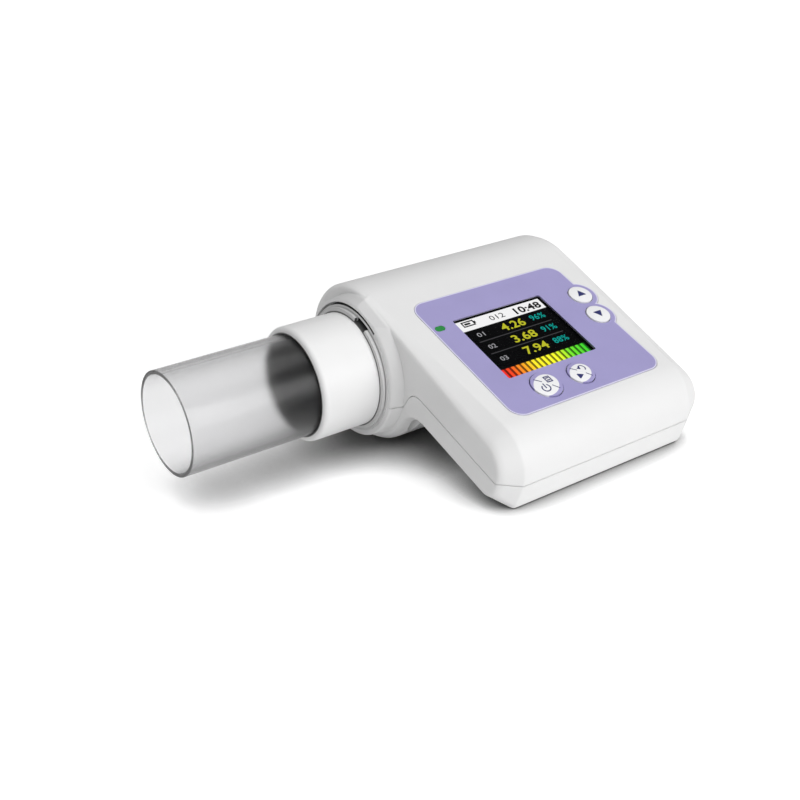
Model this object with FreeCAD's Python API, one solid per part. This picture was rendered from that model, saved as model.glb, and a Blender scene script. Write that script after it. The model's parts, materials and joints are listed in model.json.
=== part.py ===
import FreeCAD, Part
import math
import os

# Handheld turbine spirometer, in millimetres.
# Layout frame: X runs along the turbine axis from the mouthpiece (left) to the outlet (right),
# Y points to the rear, Z up, with the floor at z = 0 and the turbine axis at y = 0.
# At the end every piece is shifted so that the origin is the centre of the footprint.

V = FreeCAD.Vector
X_AXIS = V(1, 0, 0)
Z_AXIS = V(0, 0, 1)

# Housing, overall form
SIDE_FACE = 3.2            # left side face, behind the mouth of the socket
BODY_WIDTH = 75.4          # between the two side faces, on the turbine axis
AXIS_HEIGHT = 23.7         # turbine axis above the floor, and radius of the barrel's underside
PANEL_SLOPE = 20.9         # degrees, panel falls towards the front
PANEL_HEIGHT = 20.8        # panel plane above the turbine axis, square to the panel
TOP_SHIFT = 5.0            # centre of the barrel's top arc behind the turbine axis
SLAB_THICKNESS = 21.4      # panel to underside of the leg
FOOT_RADIUS = 2.0          # rounding where the leg meets the floor
FRONT_RADIUS = 13.0        # rounding between panel and front face
ARCH_RADIUS = 7.0          # rounding of the finger arch
SIDE_SPREAD = 0.8          # degrees, the side faces open out towards the front
WALL = 2.0                 # moulded wall
REST_FLAT = 0.08           # depth of the flats that the belly and the foot stand on

# Bevel between the side faces and the rest of the body
BEVEL_WIDTH = 2.4          # along X, at the turbine axis
BEVEL_TAPER = 3.0          # degrees, its inner edge closes in towards the front
BEVEL_TILT = 3.9           # degrees, the bevel deepens towards the front
BEVEL_AT_BARREL = 0.5      # depth where the bevel leaves the barrel
BEVEL_AT_REAR = 1.2        # shift of the top arc's centre
BEVEL_AT_BELLY = 1.6       # depth on the barrel's underside
BEVEL_AT_FRONT = 4.0       # depth on the front face
BEVEL_UNDER = 3.0          # depth under the leg
BEVEL_FRONT_RADIUS = 7.5   # rounding of the side face's front corner
BEVEL_FOOT_RADIUS = 4.0    # rounding of the side face's lower corner
SIDE_ROUNDING = 1.0        # soft edge between a side face and the bevel
BEVEL_ROUNDING = 1.6       # soft edge between the bevel and the rest

# Boss round the mouth of the turbine socket, on the left side only
BOSS_REACH = 4.4           # in front of the side face
BOSS_MOUTH = 20.7          # outer radius at its mouth
BOSS_FOOT = 21.6           # outer radius at the side face
BOSS_ROUNDING = 0.6
BOSS_GROOVE = 19.8         # outer radius of the dark groove round the liner's rim
GROOVE_DEPTH = 1.6

# Seam between the two shells
SEAM_DEPTH = 12.0          # below the panel, along the leg
SEAM_GAP = 0.25            # open line seen from outside
SEAM_REAR_DROP = 5.1       # seam on the barrel, below the turbine axis
NOTCH_Y = -20.3            # the small dip beside the collar
NOTCH_DROP = 1.7
NOTCH_RUN = 2.9
HUMP_FALL = 52.0           # degrees, slope of the seam from hump to dip
HUMP_RADIUS = 5.0
LIP_HEIGHT = 1.2
LIP_CLEARANCE = 0.1

# Screen and panel. Margins are taken from the side faces, from the front face and, for the rear
# ones, from the point of the panel square above the turbine axis, measured along the slope.
WINDOW_LEFT_MARGIN = 18.4
WINDOW_RIGHT_MARGIN = 23.6
WINDOW_REAR_MARGIN = 13.1
WINDOW_FRONT_MARGIN = 26.7
WINDOW_CORNER = 0.6
OVERLAY_LEFT_MARGIN = 10.1
OVERLAY_RIGHT_MARGIN = 9.0
OVERLAY_REAR_MARGIN = 2.8
OVERLAY_FRONT_MARGIN = 13.1
OVERLAY_CORNER = 4.5
OVERLAY_SCALLOP = 5.6      # radius of the overlay round the up and down keys
OVERLAY_THICKNESS = 0.4
OVERLAY_RECESS = 0.3
OVERLAY_GAP = 0.15

# Keys beside the screen: name, in from the right side face, below the window's rear edge, radius
SIDE_KEYS = (
    ("key_up", 10.9, 5.1, 3.7),
    ("key_down", 11.9, 14.6, 3.7),
)
# Keys before the screen: name, in from the window's left edge, below its front edge, radius
FRONT_KEYS = (
    ("key_power", 8.4, 6.4, 4.7),
    ("key_menu", 21.4, 6.5, 4.1),
)
KEY_TRAVEL = 0.6
KEY_PROUD = 0.8
KEY_CROWN = 0.35           # height of the domed top
KEY_CLEARANCE = 0.15       # radial, in the shell
KEY_FLANGE = 0.7           # flange wider than the key, radial
KEY_FLANGE_THICKNESS = 0.6
KEY_STEM_RADIUS = 1.6
KEY_STEM = 0.5             # stem under the flange
SEAT_GAP = 0.2             # between parts that rest on each other

# Indicator
LED_INSET = 12.9           # in from the left side face
LED_DROP = 1.5             # below the window's rear edge
LED_LENGTH = 3.2
LED_WIDTH = 2.0

# Boards and screen module
GASKET_THICKNESS = 0.3
GLASS_DEPTH = 0.9          # window underside below the panel plane
GLASS_MARGIN = 0.4         # module glass larger than the window, all round
OPENING_MARGIN = 0.5       # opening in the shell larger than the window
MODULE_MARGIN = 2.3        # module body wider than the window on the left and right
MODULE_SETBACK = 0.3       # module body inside the window's rear edge
BOARD_DEPTH = 5.6
BOARD_THICKNESS = 1.2
BOARD_LEFT_MARGIN = 11.1
BOARD_RIGHT_MARGIN = 8.8
BOARD_REAR_MARGIN = 16.8
BOARD_FRONT_MARGIN = 7.1
BOARD_CORNER = 1.5
TAB_TOP = -4.0
TAB_BOTTOM = -16.0
TAB_SETBACK = 3.0          # from the socket's mouth
SWITCH_SIZE = 5.2
SWITCH_BODY = 1.0
SWITCH_BUTTON_RADIUS = 1.5

# Charging socket on the right side
USB_WIDTH = 7.5
USB_HEIGHT = 2.6
USB_DEPTH = 5.6
USB_WALL = 0.35
USB_SETBACK = 0.5
USB_CLEARANCE = 0.4

# Battery
CELL_LENGTH = 46.0
CELL_WIDTH = 25.0
CELL_THICKNESS = 5.0
CELL_U = 2.0               # centre, to the right of the window's centre
CELL_FRONT_MARGIN = 7.1
CELL_CORNER = 2.4
PAD_THICKNESS = 0.5
RIB_THICKNESS = 1.2
RIB_HEIGHT = 4.0
RIB_CLEARANCE = 0.5

# Screws
SCREW_INSET = 5.1          # from each side face
SCREW_REAR_DROP = 10.5     # rear pair, below the window's rear edge
SCREW_FRONT_DROP = 15.6    # front pair, below the window's front edge
POST_OUTER = 3.0           # round each housing screw
SCREW_RADIUS = 1.1
SCREW_HEAD_RADIUS = 2.0
SCREW_HEAD_HEIGHT = 1.4
SCREW_BITE = 5.0           # thread in the upper boss
SCREW_SEAT = 3.0           # plastic between head and seam plane
BOARD_SCREW_GAP = 2.0      # beside the screen module
BOARD_SCREW_DROP = 7.3     # rear pair, below the window's rear edge
BOARD_SCREW_RISE = 4.0     # front pair, above the board's front edge
BOARD_SCREW_INSET = 7.5    # front right one, in from the board's right edge
POST_RADIUS = 1.9
BOARD_SCREW_RADIUS = 0.8
BOARD_SCREW_HEAD = 1.5
BOARD_SCREW_HEAD_HEIGHT = 0.9
BOARD_SCREW_BITE = 2.6

# Liner tube in the barrel
LINER_RADIUS = 19.4
LINER_CLEARANCE = 0.1
LINER_RIM = 19.0           # radius of its rim, inside the boss groove
LINER_PROUD = 0.2          # rim of the liner outside the boss, and outside the right side face
TURBINE_CLEARANCE = 0.08   # running clearance of the turbine in the liner
LINER_SHOULDER = 1.6       # step inside the liner behind the turbine
LINER_SHOULDER_LENGTH = 3.0

# Bayonet
SLOT_ANGLE = 116.0         # degrees from +Y towards +Z, the mouth of the slot
LOCK_TURN = 40.0
LUG_WIDTH = 15.0           # degrees
LUG_SIDE_CLEARANCE = 1.0   # degrees
LUG_START = 3.4            # behind the liner's rim
LUG_LENGTH = 3.2
LUG_HEIGHT = 1.2
LUG_CLEARANCE = 0.3

# Turbine head
COLLAR_RADIUS = 17.0
COLLAR_REACH = 21.0        # in front of the body
COLLAR_ROUNDING = 1.4
FLANGE_RADIUS = 18.4       # flange that covers the liner's rim
FLANGE_THICKNESS = 1.0
SLEEVE_SPARE = 2.5         # sleeve past the retaining ring
MOUTH_RADIUS = 15.0
MOUTH_CLEARANCE = 0.06
TUBE_LENGTH = 54.0
TUBE_BORE = 13.2
RING_THICKNESS = 1.5
RING_GROOVE = 0.6
RING_BORE = 13.6

# Mouthpiece
MOUTH_LENGTH = 60.0
MOUTH_WALL = 1.1
MOUTH_INSERT = 20.2

# Swirlers, rotor and bearings
SWIRLER_LENGTH = 10.0
SWIRLER_INSET = 3.0        # from the tube's ends
SWIRLER_CLEARANCE = 0.1
SWIRLER_RIM = 0.9
SWIRLER_HUB = 3.0
SWIRLER_VANES = 6
SWIRLER_TWIST = 42.0
VANE_THICKNESS = 0.8
HUB_NOSE = 2.0
CUP_RADIUS = 1.5
CUP_DEPTH = 2.4
SPINDLE_RADIUS = 0.5
SPINDLE_CLEARANCE = 0.05
SPINDLE_END_PLAY = 0.15
CUP_FLOOR = 0.6
ROTOR_RADIUS = 12.2
ROTOR_LENGTH = 17.0
ROTOR_THICKNESS = 0.5
ROTOR_BOSS = 1.3

# Light beams across the turbine
BEAM_ANGLE = 165.0
BEAM_SPACING = 6.0
BEAM_HOLE = 1.5
SENSOR_SIZE = 2.4
SENSOR_GAP = 0.3           # sensor face back from the liner's bore
SENSOR_SEAT = 0.05         # sensor back from the flexible circuit
FLEX_THICKNESS = 0.3
FLEX_WIDTH = 10.0
FLEX_OVERHANG = 8.0        # degrees past each sensor
FLEX_CLEARANCE = 0.1       # in the shells

# Derived places
LINER_BORE = COLLAR_RADIUS + TURBINE_CLEARANCE
BORE_CENTRE = V(0, 0, AXIS_HEIGHT)
FAR = 200.0
RIGHT_FACE = SIDE_FACE + BODY_WIDTH
SLOPE = math.radians(PANEL_SLOPE)

# Front face, along the slope from the point square above the turbine axis: the rounding of the
# foot touches the floor
FOOT_RISE = PANEL_HEIGHT - SLAB_THICKNESS + FOOT_RADIUS
FOOT_FALL = AXIS_HEIGHT + FOOT_RISE * math.cos(SLOPE) - FOOT_RADIUS
LEG_LENGTH = FOOT_FALL / math.sin(SLOPE) + FOOT_RADIUS

# The panel's own frame: u along X, w up the slope, from the window's centre
WINDOW_WIDTH = BODY_WIDTH - WINDOW_LEFT_MARGIN - WINDOW_RIGHT_MARGIN
WINDOW_HEIGHT = LEG_LENGTH - WINDOW_REAR_MARGIN - WINDOW_FRONT_MARGIN
WINDOW_X = SIDE_FACE + WINDOW_LEFT_MARGIN + WINDOW_WIDTH / 2
WINDOW_REACH = WINDOW_REAR_MARGIN + WINDOW_HEIGHT / 2
WINDOW_Y = -PANEL_HEIGHT * math.sin(SLOPE) - WINDOW_REACH * math.cos(SLOPE)
LEFT_FACE_U = SIDE_FACE - WINDOW_X
RIGHT_FACE_U = RIGHT_FACE - WINDOW_X
FRONT_FACE_W = WINDOW_REACH - LEG_LENGTH
OVERLAY_LEFT = LEFT_FACE_U + OVERLAY_LEFT_MARGIN
OVERLAY_RIGHT = RIGHT_FACE_U - OVERLAY_RIGHT_MARGIN
OVERLAY_TOP = WINDOW_REACH - OVERLAY_REAR_MARGIN
OVERLAY_BOTTOM = FRONT_FACE_W + OVERLAY_FRONT_MARGIN
BOARD_LEFT = LEFT_FACE_U + BOARD_LEFT_MARGIN
BOARD_RIGHT = RIGHT_FACE_U - BOARD_RIGHT_MARGIN
BOARD_TOP = WINDOW_REACH - BOARD_REAR_MARGIN
BOARD_BOTTOM = FRONT_FACE_W + BOARD_FRONT_MARGIN
LED_U = LEFT_FACE_U + LED_INSET
LED_W = WINDOW_HEIGHT / 2 - LED_DROP
CELL_W = FRONT_FACE_W + CELL_FRONT_MARGIN + CELL_WIDTH / 2
KEYS = []
for name, inset, drop, radius in SIDE_KEYS:
    KEYS.append((name, RIGHT_FACE_U - inset, WINDOW_HEIGHT / 2 - drop, radius))
for name, inset, drop, radius in FRONT_KEYS:
    KEYS.append((name, inset - WINDOW_WIDTH / 2, -WINDOW_HEIGHT / 2 - drop, radius))

# Along the turbine axis
BOSS_START = SIDE_FACE - BOSS_REACH
LINER_START = BOSS_START - LINER_PROUD
LINER_END = RIGHT_FACE + LINER_PROUD
LUG_FACE = LINER_START + LUG_START
TUBE_START = MOUTH_INSERT + SEAT_GAP - COLLAR_REACH
TUBE_END = TUBE_START + TUBE_LENGTH
SLEEVE_END = TUBE_END + RING_THICKNESS + SLEEVE_SPARE
SWIRLER_RADIUS = TUBE_BORE - SWIRLER_CLEARANCE
INLET_START = TUBE_START + SWIRLER_INSET
OUTLET_START = TUBE_END - SWIRLER_INSET - SWIRLER_LENGTH
ROTOR_CENTRE = (INLET_START + SWIRLER_LENGTH + OUTLET_START) / 2
MIDDLE = SIDE_FACE + BODY_WIDTH / 2

pieces = {}


# Plane geometry in the side view, with every point as (0, y, z)

def slope_direction(angle):
    turn = math.radians(angle)
    return V(0, math.cos(turn), math.sin(turn))


def slope_normal(angle):
    turn = math.radians(angle)
    return V(0, -math.sin(turn), math.cos(turn))


def meet(point_a, way_a, point_b, way_b):
    """Crossing of two straight lines in the side view."""
    gap = point_b - point_a
    bottom = way_a.y * way_b.z - way_a.z * way_b.y
    run = (gap.y * way_b.z - gap.z * way_b.y) / bottom
    return point_a + way_a * run


def corner_arc(before, corner, after, radius):
    """Start, middle and end of the arc that rounds a corner."""
    way_in = (before - corner).normalize()
    way_out = (after - corner).normalize()
    half = way_in.getAngle(way_out) / 2
    reach = radius / math.tan(half)
    start = corner + way_in * reach
    end = corner + way_out * reach
    bisector = (way_in + way_out).normalize()
    middle = corner + bisector * (radius / math.sin(half) - radius)
    return start, middle, end


def rounded_loop(points, radii):
    """Closed wire through the points, each corner rounded by its radius."""
    edges = []
    count = len(points)
    arcs = []
    for i in range(count):
        arcs.append(corner_arc(points[i - 1], points[i], points[(i + 1) % count], radii[i]))
    for i in range(count):
        start, middle, end = arcs[i]
        edges.append(Part.Arc(start, middle, end).toShape())
        edges.append(Part.makeLine(end, arcs[(i + 1) % count][0]))
    return Part.Wire(edges)


def rounded_plate(left, bottom, width, height, corner, low, high):
    """Plate with rounded corners, flat in its own XY plane."""
    right = left + width
    top = bottom + height
    points = [V(left, bottom, low), V(right, bottom, low), V(right, top, low), V(left, top, low)]
    wire = rounded_loop(points, [corner] * 4)
    return Part.Face(wire).extrude(V(0, 0, high - low))


def tube_x(start, end, outer, inner):
    """Tube along the turbine axis."""
    length = end - start
    place = V(start, 0, AXIS_HEIGHT)
    shape = Part.makeCylinder(outer, length, place, X_AXIS)
    if inner > 0:
        shape = shape.cut(Part.makeCylinder(inner, length, place, X_AXIS))
    return shape


def turned(shape, angle):
    """Copy turned about the turbine axis, from +Y towards +Z."""
    copy = shape.copy()
    copy.rotate(BORE_CENTRE, X_AXIS, angle)
    return copy


def sector(start, end, inner, outer, angle, spread):
    """Piece of a tube about the turbine axis, centred on an angle."""
    profile = Part.makePlane(end - start, outer - inner, V(start, inner, AXIS_HEIGHT), V(0, 0, 1), X_AXIS)
    solid = profile.revolve(BORE_CENTRE, X_AXIS, spread)
    return turned(solid, angle - spread / 2)


# Outer form of the body

def side_outline(station, side, inset, at_end):
    """Closed outline of the body seen from the side, as a wire at one station along X.

    The outline at a side face is smaller than the one behind the bevel. The inset moves
    every line and arc inwards, for the inside of the walls.
    """
    tilt = BEVEL_TILT if at_end else 0.0
    slope = PANEL_SLOPE + tilt
    height = PANEL_HEIGHT - inset - (BEVEL_AT_BARREL if at_end else 0.0)
    shift = TOP_SHIFT - (BEVEL_AT_REAR if at_end else 0.0)
    belly = AXIS_HEIGHT - inset - (BEVEL_AT_BELLY if at_end else 0.0)
    under = SLAB_THICKNESS - inset - (BEVEL_UNDER if at_end else 0.0)
    front_in = inset + (BEVEL_AT_FRONT if at_end else 0.0)
    front_radius = (BEVEL_FRONT_RADIUS if at_end else FRONT_RADIUS) - inset
    foot_radius = max((BEVEL_FOOT_RADIUS if at_end else FOOT_RADIUS) - inset, 0.5)
    arch_radius = ARCH_RADIUS + inset + (BEVEL_UNDER if at_end else 0.0)

    down = V(0, 0, -1)
    panel_way = slope_direction(slope)
    panel_normal = slope_normal(slope)
    panel_point = BORE_CENTRE + panel_normal * height
    under_way = slope_direction(PANEL_SLOPE)
    under_normal = slope_normal(PANEL_SLOPE)
    plane_point = BORE_CENTRE + under_normal * PANEL_HEIGHT
    under_point = plane_point - under_normal * under

    front_point = plane_point - under_way * (LEG_LENGTH - front_in)

    top_centre = BORE_CENTRE + V(0, shift, 0)
    top_radius = (panel_point - top_centre).dot(panel_normal)
    panel_end = top_centre + panel_normal * top_radius
    top_middle = top_centre + slope_direction(45.0 + slope / 2) * top_radius
    rear_end = top_centre + V(0, top_radius, 0)
    rear_centre = rear_end - V(0, belly, 0)
    rear_middle = rear_centre + slope_direction(-45.0) * belly
    rear_bottom = rear_centre + down * belly
    belly_bottom = BORE_CENTRE + down * belly

    # The arch rounding touches the barrel and the leg's underside.
    arch_line = under_point - under_normal * arch_radius
    toward = arch_line - BORE_CENTRE
    along = toward.dot(under_way)
    reach = belly + arch_radius
    arch_run = -along - math.sqrt(reach * reach - toward.Length ** 2 + along * along)
    arch_centre = arch_line + under_way * arch_run
    arch_start = BORE_CENTRE + (arch_centre - BORE_CENTRE).normalize() * belly
    arch_end = arch_centre + under_normal * arch_radius
    chord = (arch_start + arch_end) * 0.5
    arch_middle = arch_centre + (chord - arch_centre).normalize() * arch_radius
    belly_chord = (belly_bottom + arch_start) * 0.5
    belly_middle = BORE_CENTRE + (belly_chord - BORE_CENTRE).normalize() * belly

    foot_corner = meet(under_point, under_way, front_point, under_normal)
    front_corner = meet(panel_point, panel_way, front_point, under_normal)
    foot_arc = corner_arc(arch_end, foot_corner, front_corner, foot_radius)
    front_arc = corner_arc(foot_corner, front_corner, panel_end, front_radius)

    # Towards the front the side faces move apart, and the bevel's inner edges move together.
    taper = math.tan(math.radians(-SIDE_SPREAD if at_end else BEVEL_TAPER))

    def place(point):
        return V(station - side * point.y * taper, point.y, point.z)

    def arc(a, b, c):
        return Part.Arc(place(a), place(b), place(c)).toShape()

    def line(a, b):
        return Part.makeLine(place(a), place(b))

    return Part.Wire([
        line(front_arc[2], panel_end),
        arc(panel_end, top_middle, rear_end),
        arc(rear_end, rear_middle, rear_bottom),
        line(rear_bottom, belly_bottom),
        arc(belly_bottom, belly_middle, arch_start),
        arc(arch_start, arch_middle, arch_end),
        line(arch_end, foot_arc[0]),
        arc(*foot_arc),
        line(foot_arc[2], front_arc[0]),
        arc(*front_arc),
    ])


def body_form(inset):
    """The whole outside of the body, or the inside of its walls, as one solid."""
    bevel = BEVEL_WIDTH + inset
    left_end = side_outline(SIDE_FACE + inset, 1, inset, True)
    left = side_outline(SIDE_FACE + bevel, 1, inset, False)
    right = side_outline(RIGHT_FACE - bevel, -1, inset, False)
    right_end = side_outline(RIGHT_FACE - inset, -1, inset, True)
    return Part.makeLoft([left_end, left, right, right_end], True, True)


def soft_body():
    """The outside of the body with its bevels' edges rounded."""
    form = body_form(0.0)
    spread = math.tan(math.radians(SIDE_SPREAD))
    taper = math.tan(math.radians(BEVEL_TAPER))
    loops = (
        (SIDE_FACE, spread, SIDE_ROUNDING),
        (RIGHT_FACE, -spread, SIDE_ROUNDING),
        (SIDE_FACE + BEVEL_WIDTH, -taper, BEVEL_ROUNDING),
        (RIGHT_FACE - BEVEL_WIDTH, taper, BEVEL_ROUNDING),
    )
    for station, lean, radius in loops:
        loop = [e for e in form.Edges if lies_in_outline(e, station, lean)]
        form = form.makeFillet(radius, loop)
    return form


def lies_in_outline(edge, station, lean):
    """Whether both ends of an edge are in the leaning plane of a side outline."""
    ends = [vertex.Point for vertex in edge.Vertexes]
    return len(ends) == 2 and all(abs(p.x - station - p.y * lean) < 0.02 for p in ends)


def socket_boss():
    """Short cone round the socket's mouth, kept below the side face's upper edge."""
    length = BOSS_REACH + BEVEL_WIDTH
    cone = Part.makeCone(BOSS_MOUTH, BOSS_FOOT, length, V(BOSS_START, 0, AXIS_HEIGHT), X_AXIS)
    mouth = [e for e in cone.Edges if e.BoundBox.XMax < BOSS_START + 0.01]
    cone = cone.makeFillet(BOSS_ROUNDING, mouth)
    above = Part.makeBox(2 * FAR, 2 * FAR, FAR, V(-FAR, -FAR, PANEL_HEIGHT - BEVEL_AT_BARREL))
    above.translate(BORE_CENTRE)
    above.rotate(BORE_CENTRE, X_AXIS, PANEL_SLOPE + BEVEL_TILT)
    return cone.cut(above)


def seam_regions(raised):
    """Space above and space below the seam, both moved up by the raised height."""
    normal = slope_normal(PANEL_SLOPE)
    way = slope_direction(PANEL_SLOPE)
    leg_point = BORE_CENTRE + normal * (PANEL_HEIGHT - SEAM_DEPTH)
    rear_height = AXIS_HEIGHT - SEAM_REAR_DROP
    rear_corner = V(0, NOTCH_Y + NOTCH_RUN, rear_height)
    dip = V(0, NOTCH_Y, rear_height - NOTCH_DROP)
    hump = meet(leg_point, way, dip, slope_direction(180.0 - HUMP_FALL))
    front = leg_point - way * FAR
    rear = V(0, FAR, rear_height)
    arc = corner_arc(front, hump, dip, HUMP_RADIUS)
    line = [
        Part.makeLine(front, arc[0]),
        Part.Arc(*arc).toShape(),
        Part.makeLine(arc[2], dip),
        Part.makeLine(dip, rear_corner),
        Part.makeLine(rear_corner, rear),
    ]
    regions = []
    for level in (FAR, -FAR):
        high_rear = V(0, FAR, level)
        high_front = V(0, front.y, level)
        loop = line + [
            Part.makeLine(rear, high_rear),
            Part.makeLine(high_rear, high_front),
            Part.makeLine(high_front, front),
        ]
        region = Part.Face(Part.Wire(loop)).extrude(V(2 * FAR, 0, 0))
        region.translate(V(MIDDLE - FAR, 0, raised))
        regions.append(region)
    return regions


# The panel's own frame: X along the body, Y up the slope, Z out of the panel

def panel_plane_height(y):
    normal = slope_normal(PANEL_SLOPE)
    point = BORE_CENTRE + normal * PANEL_HEIGHT
    return point.z + (y - point.y) * math.tan(math.radians(PANEL_SLOPE))


PANEL = FreeCAD.Placement(
    V(WINDOW_X, WINDOW_Y, panel_plane_height(WINDOW_Y)),
    FreeCAD.Rotation(X_AXIS, PANEL_SLOPE),
)


def on_panel(shape):
    """Copy moved from the panel's own frame to the body."""
    copy = shape.copy()
    copy.Placement = PANEL.multiply(copy.Placement)
    return copy


def post(u, w, radius, low, high):
    """Round post square to the panel, from one depth to another."""
    return Part.makeCylinder(radius, high - low, V(u, w, low), Z_AXIS)


def overlay_plate(grow, low, high):
    """Outline of the lavender overlay, grown by a margin."""
    width = OVERLAY_RIGHT - OVERLAY_LEFT + 2 * grow
    height = OVERLAY_TOP - OVERLAY_BOTTOM + 2 * grow
    left = OVERLAY_LEFT - grow
    bottom = OVERLAY_BOTTOM - grow
    plate = rounded_plate(left, bottom, width, height, OVERLAY_CORNER + grow, low, high)
    for name, u, w, radius in KEYS[:len(SIDE_KEYS)]:
        plate = plate.fuse(post(u, w, OVERLAY_SCALLOP + grow, low, high))
    return plate.removeSplitter()


def window_plate(grow, low, high):
    """Outline of the screen window, grown by a margin."""
    width = WINDOW_WIDTH + 2 * grow
    height = WINDOW_HEIGHT + 2 * grow
    return rounded_plate(-width / 2, -height / 2, width, height, WINDOW_CORNER, low, high)


def led_plate(grow, low, high):
    """Outline of the indicator, grown by a margin."""
    length = LED_LENGTH + 2 * grow
    width = LED_WIDTH + 2 * grow
    corner = width / 2 - 0.01
    return rounded_plate(LED_U - length / 2, LED_W - width / 2, length, width, corner, low, high)


def screw_places():
    """Four places of the housing screws in the panel's frame."""
    rear = WINDOW_HEIGHT / 2 - SCREW_REAR_DROP
    front = -WINDOW_HEIGHT / 2 - SCREW_FRONT_DROP
    places = []
    for u in (LEFT_FACE_U + SCREW_INSET, RIGHT_FACE_U - SCREW_INSET):
        for w in (rear, front):
            places.append((u, w))
    return places


def board_screw_places():
    """Four places of the board's screws in the panel's frame."""
    beside = WINDOW_WIDTH / 2 + MODULE_MARGIN + BOARD_SCREW_GAP
    rear = WINDOW_HEIGHT / 2 - BOARD_SCREW_DROP
    front = BOARD_BOTTOM + BOARD_SCREW_RISE
    corner = BOARD_RIGHT - BOARD_SCREW_INSET
    return (-beside, rear), (beside, rear), (-beside, front), (corner, front)


def usb_mouth():
    """Place of the socket's mouth along u, and its middle along w and depth."""
    w = (TAB_TOP + TAB_BOTTOM) / 2
    y = WINDOW_Y + w * math.cos(math.radians(PANEL_SLOPE))
    face = RIGHT_FACE - y * math.tan(math.radians(SIDE_SPREAD))
    depth = BOARD_DEPTH + BOARD_THICKNESS + USB_HEIGHT / 2
    return face - USB_SETBACK - WINDOW_X, w, -depth


def usb_block(grow, start, end):
    """Rounded block along u, from start to end measured from the socket's mouth."""
    mouth, w, level = usb_mouth()
    width = USB_WIDTH + 2 * grow
    height = USB_HEIGHT + 2 * grow
    block = rounded_plate(-width / 2, -height / 2, width, height, height / 4, start, end)
    block.rotate(V(0, 0, 0), V(1, 1, 1), 120)
    block.translate(V(mouth, w, level))
    return block


# Shells

def make_shells():
    outer = soft_body().fuse(socket_boss())
    inner = body_form(WALL)
    half_out = body_form(WALL / 2)
    half_in = body_form(WALL / 2 + LIP_CLEARANCE)
    bore = tube_x(-FAR, FAR, LINER_RADIUS + LINER_CLEARANCE, 0)
    bore = bore.fuse(tube_x(-FAR, BOSS_START + GROOVE_DEPTH, BOSS_GROOVE, 0))
    walls = outer.cut(inner)
    above = seam_regions(SEAM_GAP)[0]
    below = seam_regions(0.0)[1]
    lip_space = seam_regions(LIP_HEIGHT + LIP_CLEARANCE)[1]
    lip_top = seam_regions(LIP_HEIGHT)[1]
    upper = walls.common(above).cut(half_out.common(lip_space))
    lip = half_in.cut(inner).common(lip_top).cut(below)
    lower = walls.common(below).fuse(lip)

    floor_depth = -SLAB_THICKNESS + WALL
    for u, w in screw_places():
        tall = on_panel(post(u, w, POST_OUTER, -SEAM_DEPTH, 0))
        upper = upper.fuse(tall.common(half_out))
        short = on_panel(post(u, w, POST_OUTER, -SLAB_THICKNESS, -SEAM_DEPTH - SEAT_GAP))
        lower = lower.fuse(short.common(half_out))
    for u, w in board_screw_places():
        column = on_panel(post(u, w, POST_RADIUS, -BOARD_DEPTH, 0))
        upper = upper.fuse(column.common(half_out))
    lower = lower.fuse(on_panel(cell_fence(floor_depth)).common(half_out))

    for u, w in screw_places():
        hole = post(u, w, SCREW_RADIUS, -SEAM_DEPTH - SEAT_GAP, -SEAM_DEPTH + SCREW_BITE)
        upper = upper.cut(on_panel(hole))
        shank = post(u, w, SCREW_RADIUS + LIP_CLEARANCE, -FAR, -SEAM_DEPTH)
        head = post(u, w, SCREW_HEAD_RADIUS + SEAT_GAP, -FAR, -SEAM_DEPTH - SCREW_SEAT)
        lower = lower.cut(on_panel(shank.fuse(head)))
    for u, w in board_screw_places():
        hole = post(u, w, BOARD_SCREW_RADIUS, -BOARD_DEPTH - SEAT_GAP, -BOARD_DEPTH + BOARD_SCREW_BITE)
        upper = upper.cut(on_panel(hole))

    recess = overlay_plate(OVERLAY_GAP, -OVERLAY_RECESS, WALL)
    upper = upper.cut(on_panel(recess))
    upper = upper.cut(on_panel(window_plate(OPENING_MARGIN, -2 * WALL, WALL)))
    upper = upper.cut(on_panel(led_plate(LINER_CLEARANCE, -2 * WALL, WALL)))
    for name, u, w, radius in KEYS:
        upper = upper.cut(on_panel(post(u, w, radius + KEY_CLEARANCE, -2 * WALL, WALL)))
    upper = upper.cut(on_panel(usb_block(USB_CLEARANCE, -2 * WALL, 2 * WALL)))
    ground = Part.makeBox(2 * FAR, 2 * FAR, FAR, V(-FAR, -FAR, REST_FLAT - FAR))
    bore = bore.fuse(flex_band(FLEX_CLEARANCE))
    pieces["upper_shell"] = upper.cut(bore)
    pieces["lower_shell"] = lower.cut(bore).cut(ground)


def cell_fence(floor_depth):
    """Low ribs on the floor that hold the battery."""
    inside_width = CELL_LENGTH + 2 * RIB_CLEARANCE
    inside_height = CELL_WIDTH + 2 * RIB_CLEARANCE
    left = CELL_U - inside_width / 2
    bottom = CELL_W - inside_height / 2
    low = floor_depth - WALL / 2
    high = floor_depth + RIB_HEIGHT
    inside = rounded_plate(left, bottom, inside_width, inside_height, CELL_CORNER, low, high)
    outside = rounded_plate(
        left - RIB_THICKNESS, bottom - RIB_THICKNESS,
        inside_width + 2 * RIB_THICKNESS, inside_height + 2 * RIB_THICKNESS,
        CELL_CORNER + RIB_THICKNESS, low, high)
    gap_width = inside_width / 2
    gap_one = Part.makeBox(gap_width, FAR, FAR, V(CELL_U - gap_width / 2, -FAR / 2, floor_depth + 1))
    gap_height = inside_height / 2
    gap_two = Part.makeBox(FAR, gap_height, FAR, V(-FAR / 2, CELL_W - gap_height / 2, floor_depth + 1))
    return outside.cut(inside).cut(gap_one).cut(gap_two)


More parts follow.
